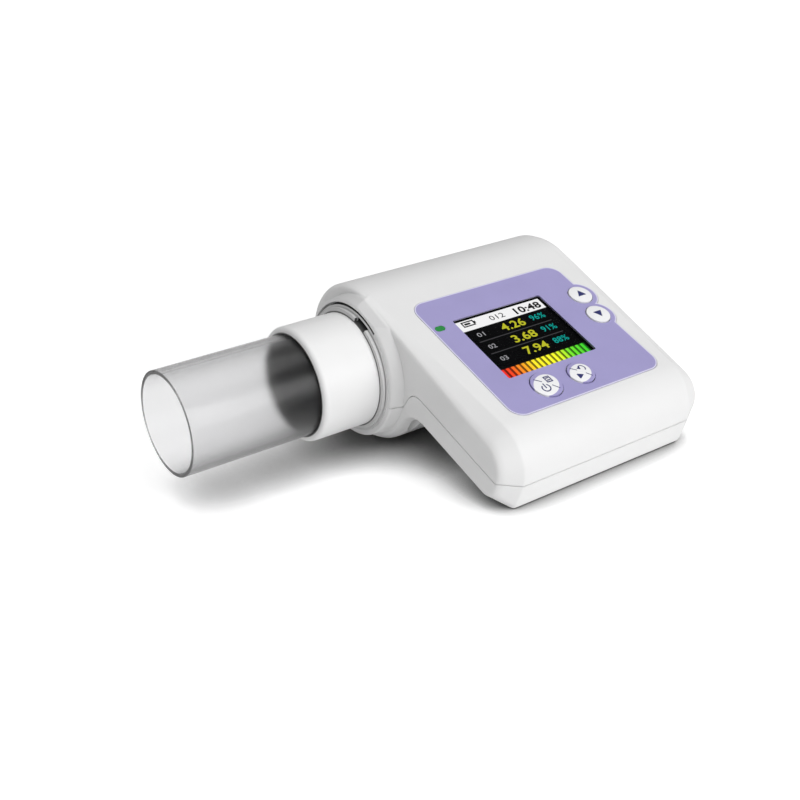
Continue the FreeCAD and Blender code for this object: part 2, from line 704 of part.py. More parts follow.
def make_screws():
    screws = []
    for u, w in screw_places():
        seat = -SEAM_DEPTH - SCREW_SEAT
        shank = post(u, w, SCREW_RADIUS, seat, -SEAM_DEPTH + SCREW_BITE)
        head = post(u, w, SCREW_HEAD_RADIUS, seat - SCREW_HEAD_HEIGHT, seat)
        screws.append(on_panel(with_cross(shank.fuse(head), u, w, seat - SCREW_HEAD_HEIGHT, SCREW_HEAD_RADIUS)))
    pieces["housing_screws"] = Part.makeCompound(screws)
    screws = []
    for u, w in board_screw_places():
        seat = -BOARD_DEPTH - BOARD_THICKNESS
        shank = post(u, w, BOARD_SCREW_RADIUS, seat, -BOARD_DEPTH + BOARD_SCREW_BITE)
        head = post(u, w, BOARD_SCREW_HEAD, seat - BOARD_SCREW_HEAD_HEIGHT, seat)
        screw = with_cross(shank.fuse(head), u, w, seat - BOARD_SCREW_HEAD_HEIGHT, BOARD_SCREW_HEAD)
        screws.append(on_panel(screw))
    pieces["board_screws"] = Part.makeCompound(screws)


def with_cross(screw, u, w, level, radius):
    """Cross recess cut in the lower face of a screw head."""
    arm = radius * 1.3
    width = radius * 0.28
    depth = radius * 0.4
    for length, breadth in ((arm, width), (width, arm)):
        corner = V(u - length / 2, w - breadth / 2, level - depth)
        screw = screw.cut(Part.makeBox(length, breadth, 2 * depth, corner))
    return screw


# Panel pieces

def make_panel():
    top = OVERLAY_THICKNESS - OVERLAY_RECESS
    overlay = overlay_plate(0, -OVERLAY_RECESS, top)
    overlay = overlay.cut(window_plate(0, -WALL, WALL))
    overlay = overlay.cut(led_plate(LINER_CLEARANCE, -WALL, WALL))
    for name, u, w, radius in KEYS:
        overlay = overlay.cut(post(u, w, radius + 2 * KEY_CLEARANCE, -WALL, WALL))
    pieces["panel_overlay"] = on_panel(overlay)

    pieces["display_window"] = on_panel(window_plate(-LINER_CLEARANCE, -GLASS_DEPTH, top))
    gasket_bottom = -WALL - GASKET_THICKNESS
    glass = window_plate(GLASS_MARGIN, gasket_bottom, -GLASS_DEPTH)
    width = WINDOW_WIDTH + 2 * MODULE_MARGIN
    bottom = -WINDOW_HEIGHT / 2 - GLASS_MARGIN
    top_edge = WINDOW_HEIGHT / 2 - MODULE_SETBACK
    body = rounded_plate(-width / 2, bottom, width, top_edge - bottom,
                         WINDOW_CORNER, -BOARD_DEPTH, gasket_bottom)
    pieces["display_module"] = on_panel(glass.fuse(body).removeSplitter())
    # The keys leave no room under the glass, so the foam has three sides.
    height = WINDOW_HEIGHT + OPENING_MARGIN + MODULE_MARGIN
    gasket = rounded_plate(-width / 2, bottom, width, height, WINDOW_CORNER, gasket_bottom, -WALL)
    gasket = gasket.cut(window_plate(OPENING_MARGIN, -2 * WALL, WALL))
    pieces["display_gasket"] = on_panel(gasket)

    pieces["indicator_lens"] = on_panel(led_plate(0, -BOARD_DEPTH + SEAT_GAP, top))


def make_keys():
    for name, u, w, radius in KEYS:
        flange_top = -WALL - SEAT_GAP
        flange_bottom = flange_top - KEY_FLANGE_THICKNESS
        cap = post(u, w, radius, flange_bottom, KEY_PROUD - KEY_CROWN)
        flange = post(u, w, radius + KEY_FLANGE, flange_bottom, flange_top)
        stem = post(u, w, KEY_STEM_RADIUS, flange_bottom - KEY_STEM, flange_bottom)
        dome_radius = (radius * radius + KEY_CROWN * KEY_CROWN) / (2 * KEY_CROWN)
        dome = Part.makeSphere(dome_radius, V(u, w, KEY_PROUD - dome_radius))
        dome = dome.common(post(u, w, radius, KEY_PROUD - KEY_CROWN, KEY_PROUD + 1))
        pieces[name] = on_panel(cap.fuse([flange, stem, dome]).removeSplitter())


# Inside pieces

def make_boards():
    low = -BOARD_DEPTH - BOARD_THICKNESS
    board = rounded_plate(BOARD_LEFT, BOARD_BOTTOM, BOARD_RIGHT - BOARD_LEFT,
                          BOARD_TOP - BOARD_BOTTOM, BOARD_CORNER, low, -BOARD_DEPTH)
    mouth, w, level = usb_mouth()
    tab_left = BOARD_RIGHT - 2 * BOARD_CORNER
    tab = rounded_plate(tab_left, TAB_BOTTOM, mouth - TAB_SETBACK - tab_left, TAB_TOP - TAB_BOTTOM,
                        BOARD_CORNER, low, -BOARD_DEPTH)
    board = board.fuse(tab).removeSplitter()
    for u, w in board_screw_places():
        board = board.cut(post(u, w, BOARD_SCREW_RADIUS + LIP_CLEARANCE, -FAR, FAR))
    pieces["main_board"] = on_panel(board)

    switches = []
    button_top = -WALL - SEAT_GAP - KEY_FLANGE_THICKNESS - KEY_STEM - KEY_TRAVEL - SEAT_GAP
    for name, u, w, radius in KEYS:
        base = rounded_plate(u - SWITCH_SIZE / 2, w - SWITCH_SIZE / 2, SWITCH_SIZE, SWITCH_SIZE,
                             0.5, -BOARD_DEPTH, -BOARD_DEPTH + SWITCH_BODY)
        button = post(u, w, SWITCH_BUTTON_RADIUS, -BOARD_DEPTH + SWITCH_BODY, button_top)
        switches.append(on_panel(base.fuse(button)))
    pieces["key_switches"] = Part.makeCompound(switches)

    shell = usb_block(0, -USB_DEPTH, 0)
    cavity = usb_block(-USB_WALL, -USB_DEPTH + USB_WALL, USB_WALL)
    shell = shell.cut(cavity)
    mouth, w, level = usb_mouth()
    tongue_width = USB_WIDTH / 2
    tongue = Part.makeBox(USB_DEPTH - 1, tongue_width, USB_WALL * 2,
                          V(mouth - USB_DEPTH, w - tongue_width / 2, level - USB_WALL))
    pieces["usb_socket"] = on_panel(shell.fuse(tongue))


def make_battery():
    floor_depth = -SLAB_THICKNESS + WALL
    left = CELL_U - CELL_LENGTH / 2
    bottom = CELL_W - CELL_WIDTH / 2
    low = floor_depth + PAD_THICKNESS
    cell = rounded_plate(left, bottom, CELL_LENGTH, CELL_WIDTH, CELL_CORNER, low, low + CELL_THICKNESS)
    pieces["battery"] = on_panel(cell)
    margin = 3 * PAD_THICKNESS
    pad = rounded_plate(left + margin, bottom + margin, CELL_LENGTH - 2 * margin,
                        CELL_WIDTH - 2 * margin, CELL_CORNER / 2, floor_depth, low)
    pieces["battery_pad"] = on_panel(pad)


def beam_stations():
    return (ROTOR_CENTRE - BEAM_SPACING / 2, ROTOR_CENTRE + BEAM_SPACING / 2)


def beam_hole(station, radius):
    """Hole right across the turbine for one light beam."""
    hole = Part.makeCylinder(radius, 2 * FAR, V(station, -FAR, AXIS_HEIGHT), V(0, 1, 0))
    return turned(hole, BEAM_ANGLE)


def make_liner():
    liner = tube_x(LINER_START, LINER_END, LINER_RADIUS, LINER_BORE)
    stop_start = SLEEVE_END + LUG_CLEARANCE
    stop = tube_x(stop_start, stop_start + LINER_SHOULDER_LENGTH, LINER_BORE + SEAT_GAP,
                  LINER_BORE - LINER_SHOULDER)
    liner = liner.fuse(stop)
    liner = liner.cut(tube_x(LINER_START - 1, BOSS_START + GROOVE_DEPTH, LINER_RADIUS + 1, LINER_RIM))
    depth = LINER_BORE + LUG_HEIGHT + LUG_CLEARANCE
    groove_start = LUG_FACE - LUG_CLEARANCE
    groove_end = LUG_FACE + LUG_LENGTH + LUG_CLEARANCE
    width = LUG_WIDTH + 2 * LUG_SIDE_CLEARANCE
    for half_turn in (0, 180):
        mouth = sector(LINER_START - 1, groove_end, LINER_BORE - 1, depth, SLOT_ANGLE + half_turn, width)
        middle = SLOT_ANGLE + half_turn + LOCK_TURN / 2
        groove = sector(groove_start, groove_end, LINER_BORE - 1, depth, middle, width + LOCK_TURN)
        liner = liner.cut(mouth).cut(groove)
    for station in beam_stations():
        liner = liner.cut(beam_hole(station, SENSOR_SIZE / 2 + SEAT_GAP))
    pieces["socket_liner"] = liner


def flex_band(grow):
    """Band of the flexible circuit on the liner, or the space for it in the shells."""
    start = ROTOR_CENTRE - FLEX_WIDTH / 2 - grow
    outer = LINER_RADIUS + FLEX_THICKNESS + grow
    spread = 180.0 + 2 * (FLEX_OVERHANG + math.degrees(grow / LINER_RADIUS))
    return sector(start, start + FLEX_WIDTH + 2 * grow, LINER_RADIUS, outer, BEAM_ANGLE + 90.0, spread)


def make_sensors():
    groups = {"ir_receivers": 0.0, "ir_emitters": 180.0}
    for node in groups:
        blocks = []
        for station in beam_stations():
            face = LINER_BORE + SENSOR_GAP
            block = Part.makeCylinder(SENSOR_SIZE / 2, LINER_RADIUS - SENSOR_SEAT - face,
                                      V(station, face, AXIS_HEIGHT), V(0, 1, 0))
            blocks.append(turned(block, BEAM_ANGLE + groups[node]))
        pieces[node] = Part.makeCompound(blocks)
    pieces["sensor_flex"] = flex_band(0.0)


# Turbine head

def make_collar():
    bore = MOUTH_RADIUS + MOUTH_CLEARANCE
    sleeve = tube_x(-COLLAR_REACH, SLEEVE_END, COLLAR_RADIUS, bore)
    front = [e for e in sleeve.Edges if abs(e.BoundBox.XMax + COLLAR_REACH) < 0.01
             and e.BoundBox.ZLength > 2 * COLLAR_RADIUS - 0.1]
    sleeve = sleeve.makeFillet(COLLAR_ROUNDING, front)
    flange_end = LINER_START - SEAT_GAP
    flange = tube_x(flange_end - FLANGE_THICKNESS, flange_end, FLANGE_RADIUS, bore)
    notch_width = LUG_WIDTH + 2 * LUG_SIDE_CLEARANCE
    for half_turn in (0, 180):
        notch = sector(flange_end - FLANGE_THICKNESS - 1, flange_end + 1, COLLAR_RADIUS,
                       FLANGE_RADIUS + 1, SLOT_ANGLE + half_turn, notch_width)
        flange = flange.cut(notch)
    sleeve = sleeve.fuse(flange)
    for half_turn in (0, 180):
        lug = sector(LUG_FACE, LUG_FACE + LUG_LENGTH, COLLAR_RADIUS - 1, COLLAR_RADIUS + LUG_HEIGHT,
                     SLOT_ANGLE + LOCK_TURN + half_turn, LUG_WIDTH)
        sleeve = sleeve.fuse(lug)
    groove = tube_x(TUBE_END, TUBE_END + RING_THICKNESS, bore + RING_GROOVE, bore - 1)
    sleeve = sleeve.cut(groove)
    for station in beam_stations():
        sleeve = sleeve.cut(beam_hole(station, BEAM_HOLE))
    pieces["turbine_collar"] = sleeve
    pieces["turbine_tube"] = tube_x(TUBE_START, TUBE_END, MOUTH_RADIUS, TUBE_BORE)
    ring = tube_x(TUBE_END, TUBE_END + RING_THICKNESS, bore + RING_GROOVE, RING_BORE)
    gap = Part.makeBox(RING_THICKNESS, 2 * SWIRLER_HUB, FAR, V(TUBE_END, -SWIRLER_HUB, AXIS_HEIGHT))
    pieces["retaining_ring"] = ring.cut(gap)


def swirler(start, facing):
    """Rim, hub and twisted vanes; facing is -1 with the nose to the left, 1 to the right."""
    end = start + SWIRLER_LENGTH
    rim = tube_x(start, end, SWIRLER_RADIUS, SWIRLER_RADIUS - SWIRLER_RIM)
    hub = tube_x(start, end, SWIRLER_HUB, 0)
    nose_at = start if facing < 0 else end
    nose = Part.makeSphere(SWIRLER_HUB, V(nose_at, 0, AXIS_HEIGHT))
    vanes = []
    steps = 4
    for i in range(SWIRLER_VANES):
        wires = []
        for step in range(steps + 1):
            x = start + 1 + (SWIRLER_LENGTH - 2) * step / steps
            twist = SWIRLER_TWIST * facing * step / steps
            low = V(x, SWIRLER_HUB - 1, AXIS_HEIGHT - VANE_THICKNESS / 2)
            high = V(x, SWIRLER_RADIUS - SWIRLER_RIM / 2, AXIS_HEIGHT + VANE_THICKNESS / 2)
            wire = Part.makePolygon([
                low, V(x, high.y, low.z), high, V(x, low.y, high.z), low])
            wires.append(turned(wire, 360.0 * i / SWIRLER_VANES + twist))
        vanes.append(Part.makeLoft(wires, True, False))
    body = rim.fuse([hub, nose] + vanes)
    inner_face = end if facing < 0 else start
    cup_start = inner_face - CUP_DEPTH if facing < 0 else inner_face
    return body.cut(tube_x(cup_start, cup_start + CUP_DEPTH, CUP_RADIUS, 0))


def make_turbine():
    pieces["inlet_swirler"] = swirler(INLET_START, -1)
    pieces["outlet_swirler"] = swirler(OUTLET_START, 1)
    pivot = SPINDLE_RADIUS + SPINDLE_CLEARANCE
    left_face = INLET_START + SWIRLER_LENGTH
    right_face = OUTLET_START
    left_cup = tube_x(left_face - CUP_DEPTH, left_face, CUP_RADIUS, 0)
    left_cup = left_cup.cut(tube_x(left_face - CUP_DEPTH + CUP_FLOOR, left_face + 1, pivot, 0))
    right_cup = tube_x(right_face, right_face + CUP_DEPTH, CUP_RADIUS, 0)
    right_cup = right_cup.cut(tube_x(right_face - 1, right_face + CUP_DEPTH - CUP_FLOOR, pivot, 0))
    pieces["spindle_bearings"] = Part.makeCompound([left_cup, right_cup])

    spindle_start = left_face - CUP_DEPTH + CUP_FLOOR + SPINDLE_END_PLAY
    spindle_end = right_face + CUP_DEPTH - CUP_FLOOR - SPINDLE_END_PLAY
    pieces["rotor_spindle"] = tube_x(spindle_start, spindle_end, SPINDLE_RADIUS, 0)
    start = ROTOR_CENTRE - ROTOR_LENGTH / 2
    blade = Part.makeBox(ROTOR_LENGTH, 2 * ROTOR_RADIUS, ROTOR_THICKNESS,
                         V(start, -ROTOR_RADIUS, AXIS_HEIGHT - ROTOR_THICKNESS / 2))
    boss = tube_x(start, start + ROTOR_LENGTH, ROTOR_BOSS, 0)
    vane = blade.fuse(boss).cut(tube_x(start, start + ROTOR_LENGTH, SPINDLE_RADIUS, 0))
    pieces["rotor_vane"] = vane


def make_mouthpiece():
    start = -COLLAR_REACH + MOUTH_INSERT - MOUTH_LENGTH
    pieces["mouthpiece"] = tube_x(start, start + MOUTH_LENGTH, MOUTH_RADIUS, MOUTH_RADIUS - MOUTH_WALL)


make_shells()
make_screws()
make_panel()
make_keys()
make_boards()
make_battery()
make_liner()
make_sensors()
make_collar()
make_turbine()
make_mouthpiece()

# Origin at the centre of the footprint, on the plane of the flats that it rests on
whole = FreeCAD.BoundBox()
for shape in pieces.values():
    whole.add(shape.optimalBoundingBox(False, False))
shift = V(-whole.Center.x, -whole.Center.y, -REST_FLAT)

os.makedirs("parts", exist_ok=True)
for node, shape in pieces.items():
    placed = shape.copy()
    placed.translate(shift)
    placed.exportStep("parts/" + node + ".step")
    print(node, placed.ShapeType, len(placed.Solids), round(placed.Volume, 1), placed.isValid())
print("shift", shift, "size", whole.XLength, whole.YLength, whole.ZLength)
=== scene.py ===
import json
import math

import bmesh
import bpy
from mathutils import Matrix, Vector


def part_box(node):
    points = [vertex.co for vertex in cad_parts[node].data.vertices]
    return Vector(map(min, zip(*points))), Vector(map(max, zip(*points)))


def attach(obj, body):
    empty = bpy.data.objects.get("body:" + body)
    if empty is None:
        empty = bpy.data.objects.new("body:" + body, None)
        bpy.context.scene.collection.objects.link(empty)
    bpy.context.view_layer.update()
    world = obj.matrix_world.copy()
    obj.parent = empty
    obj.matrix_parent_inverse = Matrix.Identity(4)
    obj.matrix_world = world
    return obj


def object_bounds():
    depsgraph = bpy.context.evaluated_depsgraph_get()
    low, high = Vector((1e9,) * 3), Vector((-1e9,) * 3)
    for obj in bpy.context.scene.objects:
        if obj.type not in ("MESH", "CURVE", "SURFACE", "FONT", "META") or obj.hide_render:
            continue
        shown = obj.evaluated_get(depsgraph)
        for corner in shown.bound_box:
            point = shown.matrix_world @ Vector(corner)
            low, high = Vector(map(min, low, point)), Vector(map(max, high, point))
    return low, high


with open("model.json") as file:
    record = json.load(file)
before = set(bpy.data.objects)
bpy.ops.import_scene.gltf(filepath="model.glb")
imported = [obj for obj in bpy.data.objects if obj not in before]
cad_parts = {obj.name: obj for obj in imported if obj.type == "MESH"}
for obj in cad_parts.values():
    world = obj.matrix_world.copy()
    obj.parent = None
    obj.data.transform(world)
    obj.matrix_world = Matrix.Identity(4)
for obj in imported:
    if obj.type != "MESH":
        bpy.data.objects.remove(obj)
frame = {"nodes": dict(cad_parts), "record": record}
nodes = frame["nodes"]
cad_low, cad_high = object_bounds()

MM = 0.001

# The sloping panel: window centre on the panel's surface, and the slope
PANEL_SLOPE = math.radians(20.9)
WINDOW_FACE = 0.4 * MM          # panel surface above the middle of the window's thickness
ALONG = Vector((1, 0, 0))
UPHILL = Vector((0, math.cos(PANEL_SLOPE), math.sin(PANEL_SLOPE)))
OUTWARD = Vector((0, -math.sin(PANEL_SLOPE), math.cos(PANEL_SLOPE)))
window_low, window_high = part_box("display_window")
PANEL_CENTRE = (window_low + window_high) / 2 + OUTWARD * WINDOW_FACE
PANEL = Matrix.Translation(PANEL_CENTRE) @ Matrix((
    (ALONG.x, UPHILL.x, OUTWARD.x, 0),
    (ALONG.y, UPHILL.y, OUTWARD.y, 0),
    (ALONG.z, UPHILL.z, OUTWARD.z, 0),
    (0, 0, 0, 1),
))

# Screen, in millimetres on the panel from the window's centre
SCREEN_WIDTH = 32.2
SCREEN_HEIGHT = 25.4
SCREEN_DEPTH = -0.88            # graphics just above the module's glass
INK_STEP = 0.02                 # printed layers above each other

HEADER_FOOT = 8.6
HEADER_HEIGHT = 4.3
LEVEL_FOOT = -12.8
LEVEL_HEIGHT = 3.9
LEVEL_BARS = 17
BAR_SHARE = 0.58                # bright part of a bar's pitch
SHADE_START = 0.6
SHADE_SHARE = 0.28
INK_THICKNESS = 0.01

# Keys on the panel: place along and uphill, radius
KEYS = {
    "key_up": (29.4, 8.25, 3.7),
    "key_down": (28.4, -1.25, 3.7),
    "key_power": (-8.3, -19.75, 4.7),
    "key_menu": (4.7, -19.85, 4.1),
}
KEY_TOP = 0.8
KEY_CROWN = 0.35

# Overlay outline on the panel
OVERLAY_LEFT = -25.0
OVERLAY_RIGHT = 31.3
OVERLAY_TOP = 23.65
OVERLAY_BOTTOM = -26.95
OVERLAY_CORNER = 4.5
OVERLAY_SCALLOP = 5.6           # round the upper two keys
OVERLAY_HIGHLIGHT = 0.32              # width of the painted highlight along the film's cut edge
LAVENDER = ((0.34, 0.312, 0.573, 1), (0.358, 0.328, 0.6, 1))

# The turbine axis, and places along it
AXIS_Y = 19.087 * MM
AXIS_Z = 23.62 * MM
BOSS_FOOT = -6.1 * MM           # the left side face
FLANGE_FACE = -11.93 * MM       # front face of the turbine's flange
FLANGE_BACK = -9.5 * MM
FLANGE_RADIUS = 18.4 * MM
FLANGE_LINE = 17.4 * MM         # radius of the painted shadow line at the collar's foot
BORE_RADIUS = 15.45 * MM
THROAT_START = -10.5 * MM       # painted shade starts inside the socket, just behind the liner's rim
THROAT_END = 6.0 * MM
SHADOW = (0.03, 0.03, 0.03, 1)

# Noise scales of moulded plastic
CLOUD_SCALE = 55.0
GRAIN_SCALE = 3500.0
GRAIN_STRENGTH = 0.06
GRAIN_DEPTH = 0.004 * MM


# Node helpers

class Nodes:
    """Small builder for a material's node tree."""

    def __init__(self, name):
        self.material = bpy.data.materials.new(name)
        self.material.use_nodes = True
        self.tree = self.material.node_tree
        self.tree.nodes.clear()
        self.output = self.add("ShaderNodeOutputMaterial")

    def add(self, kind, **settings):
        node = self.tree.nodes.new(kind)
        for key, value in settings.items():
            setattr(node, key, value)
        return node

    def link(self, source, target):
        self.tree.links.new(source, target)

    def put(self, socket, value):
        """Link a socket to a node's output, or set its own value."""
        if isinstance(value, bpy.types.NodeSocket):
            self.link(value, socket)
        else:
            socket.default_value = value

    def math(self, operation, a, b=0.0):
        node = self.add("ShaderNodeMath", operation=operation)
        self.put(node.inputs[0], a)
        self.put(node.inputs[1], b)
        return node.outputs[0]

    def place(self):
        return self.add("ShaderNodeTexCoord").outputs["Object"]

    def noise(self, scale, detail=3.0, place=None):
        node = self.add("ShaderNodeTexNoise")
        self.link(place or self.place(), node.inputs["Vector"])
        node.inputs["Scale"].default_value = scale
        node.inputs["Detail"].default_value = detail
        return node.outputs["Fac"]

    def spread(self, value, low, high, at=(0.35, 0.65)):
        """Map a 0 to 1 value between two numbers."""
        node = self.add("ShaderNodeMapRange")
        self.put(node.inputs["Value"], value)
        node.inputs["From Min"].default_value = at[0]
        node.inputs["From Max"].default_value = at[1]
        node.inputs["To Min"].default_value = low
        node.inputs["To Max"].default_value = high
        return node.outputs["Result"]

    def mix(self, share, a, b):
        node = self.add("ShaderNodeMix", data_type="RGBA")
        self.put(node.inputs[0], share)
        self.put(node.inputs[6], a)
        self.put(node.inputs[7], b)
        return node.outputs[2]

    def ramp(self, value, stops):
        node = self.add("ShaderNodeValToRGB")
        elements = node.color_ramp.elements
        while len(elements) < len(stops):
            elements.new(1.0)
        for element, (position, colour) in zip(elements, stops):
            element.position = position
            element.color = (*colour, 1)
        self.put(node.inputs[0], value)
        return node.outputs["Color"]

    def bump(self, height, strength, distance):
        node = self.add("ShaderNodeBump")
        self.put(node.inputs["Height"], height)
        node.inputs["Strength"].default_value = strength
        node.inputs["Distance"].default_value = distance
        return node.outputs["Normal"]

    def principled(self, **values):
        node = self.add("ShaderNodeBsdfPrincipled")
        for key, value in values.items():
            self.put(node.inputs[key.replace("_", " ")], value)
        return node

    def finish(self, shader):
        self.link(shader.outputs[0], self.output.inputs["Surface"])
        return self.material


def rgb(colour, factor=1.0):
    return (colour[0] * factor, colour[1] * factor, colour[2] * factor, 1)


# Materials

def moulded(name, colour, roughness, edge=0.35, coat=0.0, ior=1.46, flare=None, shade_painter=None):
    """Moulded plastic: faint cloudy shade, fine grain in the gloss, soft edges.

    flare is a function that changes the surface's direction by place; the last argument is a
    function that paints shade into the colour by place.
    """
    n = Nodes(name)
    cloud = n.spread(n.noise(CLOUD_SCALE), 0.0, 1.0)
    fine = n.noise(GRAIN_SCALE, 2.0)
    grain = n.bump(fine, GRAIN_STRENGTH, GRAIN_DEPTH)
    soft = n.add("ShaderNodeBevel", samples=6)
    soft.inputs["Radius"].default_value = edge * MM
    direction = flare(n, soft.outputs[0]) if flare else soft.outputs[0]
    n.link(direction, grain.node.inputs["Normal"])
    shade = n.mix(cloud, rgb(colour, 0.985), rgb(colour))
    shader = n.principled(
        Base_Color=shade_painter(n, shade) if shade_painter else shade,
        Roughness=n.spread(fine, roughness * 0.85, roughness * 1.15),
        IOR=ior,
        Normal=grain,
        Coat_Weight=coat,
        Coat_Roughness=0.12,
    )
    return n.finish(shader)


def along_axis(n):
    """Place along the turbine axis."""
    place = n.add("ShaderNodeSeparateXYZ")
    n.link(n.place(), place.inputs[0])
    return place.outputs[0]


def off_axis(n):
    """Distance from the turbine axis."""
    place = n.add("ShaderNodeSeparateXYZ")
    n.link(n.place(), place.inputs[0])
    across = n.math("POWER", n.math("SUBTRACT", place.outputs[1], AXIS_Y), 2.0)
    height = n.math("POWER", n.math("SUBTRACT", place.outputs[2], AXIS_Z), 2.0)
    return n.math("SQRT", n.math("ADD", across, height))


def boss_flare(n, direction):
    """The boss's flank turned towards the left, like the wide fillet at its foot."""
    share = n.spread(along_axis(n), 0.4, 0.0, (BOSS_FOOT - 0.8 * MM, BOSS_FOOT + 1.4 * MM))
    blend = n.add("ShaderNodeMix", data_type="VECTOR")
    n.put(blend.inputs[0], share)
    n.put(blend.inputs[4], direction)
    blend.inputs[5].default_value = (-1.0, 0.0, 0.0)
    straight = n.add("ShaderNodeVectorMath", operation="NORMALIZE")
    n.link(blend.outputs[1], straight.inputs[0])
    return straight.outputs[0]


def collar_painted_shade(n, shade):
    """Painted shade round the collar: a painted shadow line at its foot, painted shade greying the
    flange outside it, and painted shade darkening the notch and the bore.
    """
    radius = off_axis(n)
    along = along_axis(n)
    # painted shadow: dark line at the foot of the collar, and greyer flange face outside it
    at_flange = n.spread(along, 0.0, 1.0, (FLANGE_FACE - 0.12 * MM, FLANGE_FACE))
    line = n.spread(radius, 1.0, 0.0, (FLANGE_LINE - 0.1 * MM, FLANGE_LINE + 0.1 * MM))
    dark = n.math("MULTIPLY", at_flange, n.spread(line, 0.3, 0.92, (0.0, 1.0)))
    # painted shade in the notch of the flange
    enter = n.spread(along, 0.0, 1.0, (FLANGE_FACE + 0.1 * MM, FLANGE_FACE + 0.3 * MM))
    leave = n.spread(along, 1.0, 0.0, (FLANGE_BACK, FLANGE_BACK + 0.5 * MM))
    within = n.spread(radius, 0.95, 0.0, (FLANGE_RADIUS - 0.15 * MM, FLANGE_RADIUS - 0.05 * MM))
    notch = n.math("MULTIPLY", n.math("MULTIPLY", enter, leave), within)
    dark = n.math("MAXIMUM", dark, notch)
    outer = n.mix(dark, shade, SHADOW)
    # painted shade inside the bore
    bore = n.spread(radius, 0.96, 0.0, (BORE_RADIUS - 0.15 * MM, BORE_RADIUS + 0.15 * MM))
    return n.mix(bore, outer, SHADOW)


def throat_painted_shade(name, colour):
    """White moulding with painted shade: its colour turns nearly black inside the mouth of the
    turbine socket.
    """
    n = Nodes(name)
    fine = n.noise(GRAIN_SCALE, 2.0)
    cloud = n.spread(n.noise(CLOUD_SCALE), 0.97, 1.0)
    along = along_axis(n)
    # painted shade: colour goes nearly black just behind the liner's rim, fading back out past the
    # throat's end
    enter = n.spread(along, 0.0, 1.0, (THROAT_START, THROAT_START + 0.2 * MM))
    leave = n.spread(along, 1.0, 0.0, (THROAT_END, THROAT_END + 8 * MM))
    painted_shade_share = n.math("MULTIPLY", enter, leave)
    pale = n.mix(cloud, (0, 0, 0, 1), rgb(colour))
    shader = n.principled(
        Base_Color=n.mix(painted_shade_share, pale, (0.012, 0.012, 0.013, 1)),
        Roughness=n.spread(fine, 0.42, 0.55),
        Normal=n.bump(fine, GRAIN_STRENGTH, GRAIN_DEPTH),
    )
    return n.finish(shader)


def clear(name, tint, roughness=0.03):
    """Clear moulded plastic with faint flow marks."""
    n = Nodes(name)
    flow = n.noise(160.0, 2.0)
    shader = n.principled(
        Base_Color=n.mix(n.spread(flow, 0.0, 1.0), rgb(tint, 0.985), rgb(tint)),
        Roughness=n.spread(flow, roughness * 0.7, roughness * 1.3),
        IOR=1.49,
        Transmission_Weight=1.0,
        Normal=n.bump(flow, 0.02, 0.02 * MM),
    )
    return n.finish(shader)


def hazy(name, tint, roughness):
    """Grey see-through plastic with a satin haze, darker where the wall is seen edge-on."""
    n = Nodes(name)
    flow = n.spread(n.noise(30.0, 1.0), 0.0, 1.0)
    facing = n.add("ShaderNodeLayerWeight")
    facing.inputs["Blend"].default_value = 0.5
    edge_on = n.spread(facing.outputs["Facing"], 0.0, 0.5, (0.35, 0.95))
    pale = n.mix(flow, rgb(tint, 0.99), rgb(tint))
    shader = n.principled(
        Base_Color=n.mix(edge_on, pale, (0.08, 0.08, 0.085, 1)),
        Roughness=n.spread(flow, roughness * 0.97, roughness * 1.03, (0.0, 1.0)),
        IOR=1.35,
        Transmission_Weight=1.0,
    )
    return n.finish(shader)


def thin_window(name):
    """Flat clear cover over the screen: sees through, with a faint gloss."""
    n = Nodes(name)
    smear = n.noise(120.0, 3.0)
    through = n.add("ShaderNodeBsdfTransparent")
    through.inputs["Color"].default_value = (0.985, 0.985, 0.99, 1)
    gloss = n.principled(
        Base_Color=(0.01, 0.01, 0.01, 1),
        Roughness=n.spread(smear, 0.05, 0.12),
        IOR=1.3,
    )
    fresnel = n.add("ShaderNodeFresnel")
    fresnel.inputs["IOR"].default_value = 1.12
    mix = n.add("ShaderNodeMixShader")
    n.link(fresnel.outputs[0], mix.inputs[0])
    n.link(through.outputs[0], mix.inputs[1])
    n.link(gloss.outputs[0], mix.inputs[2])
    return n.finish(mix)


def metal(name, colour, roughness):
    n = Nodes(name)
    lines = n.noise(400.0, 5.0)
    shader = n.principled(
        Base_Color=n.mix(n.spread(lines, 0.0, 1.0), rgb(colour, 0.93), rgb(colour)),
        Metallic=1.0,
        Roughness=n.spread(lines, roughness * 0.8, roughness * 1.2),
        Normal=n.bump(lines, 0.08, 0.01 * MM),
    )
    return n.finish(shader)


def foam(name, colour):
    n = Nodes(name)
    cells = n.add("ShaderNodeTexVoronoi")
    n.link(n.place(), cells.inputs["Vector"])
    cells.inputs["Scale"].default_value = 4000.0
    shader = n.principled(
        Base_Color=n.mix(cells.outputs["Distance"], rgb(colour, 0.7), rgb(colour, 1.3)),
        Roughness=n.spread(cells.outputs["Distance"], 0.8, 0.95, (0.0, 1.0)),
        Normal=n.bump(cells.outputs["Distance"], 0.3, 0.05 * MM),
    )
    return n.finish(shader)


def circuit_board(name):
    """Solder mask with faint tracks under it."""
    n = Nodes(name)
    tracks = n.add("ShaderNodeTexBrick")
    n.link(n.place(), tracks.inputs["Vector"])
    tracks.inputs["Scale"].default_value = 260.0
    tracks.inputs["Color1"].default_value = (0.02, 0.16, 0.07, 1)
    tracks.inputs["Color2"].default_value = (0.02, 0.2, 0.09, 1)
    tracks.inputs["Mortar"].default_value = (0.05, 0.3, 0.13, 1)
    tracks.inputs["Mortar Size"].default_value = 0.04
    shader = n.principled(
        Base_Color=tracks.outputs["Color"],
        Roughness=n.spread(n.noise(600.0), 0.3, 0.45),
        Normal=n.bump(tracks.outputs["Fac"], 0.1, 0.02 * MM),
    )
    return n.finish(shader)


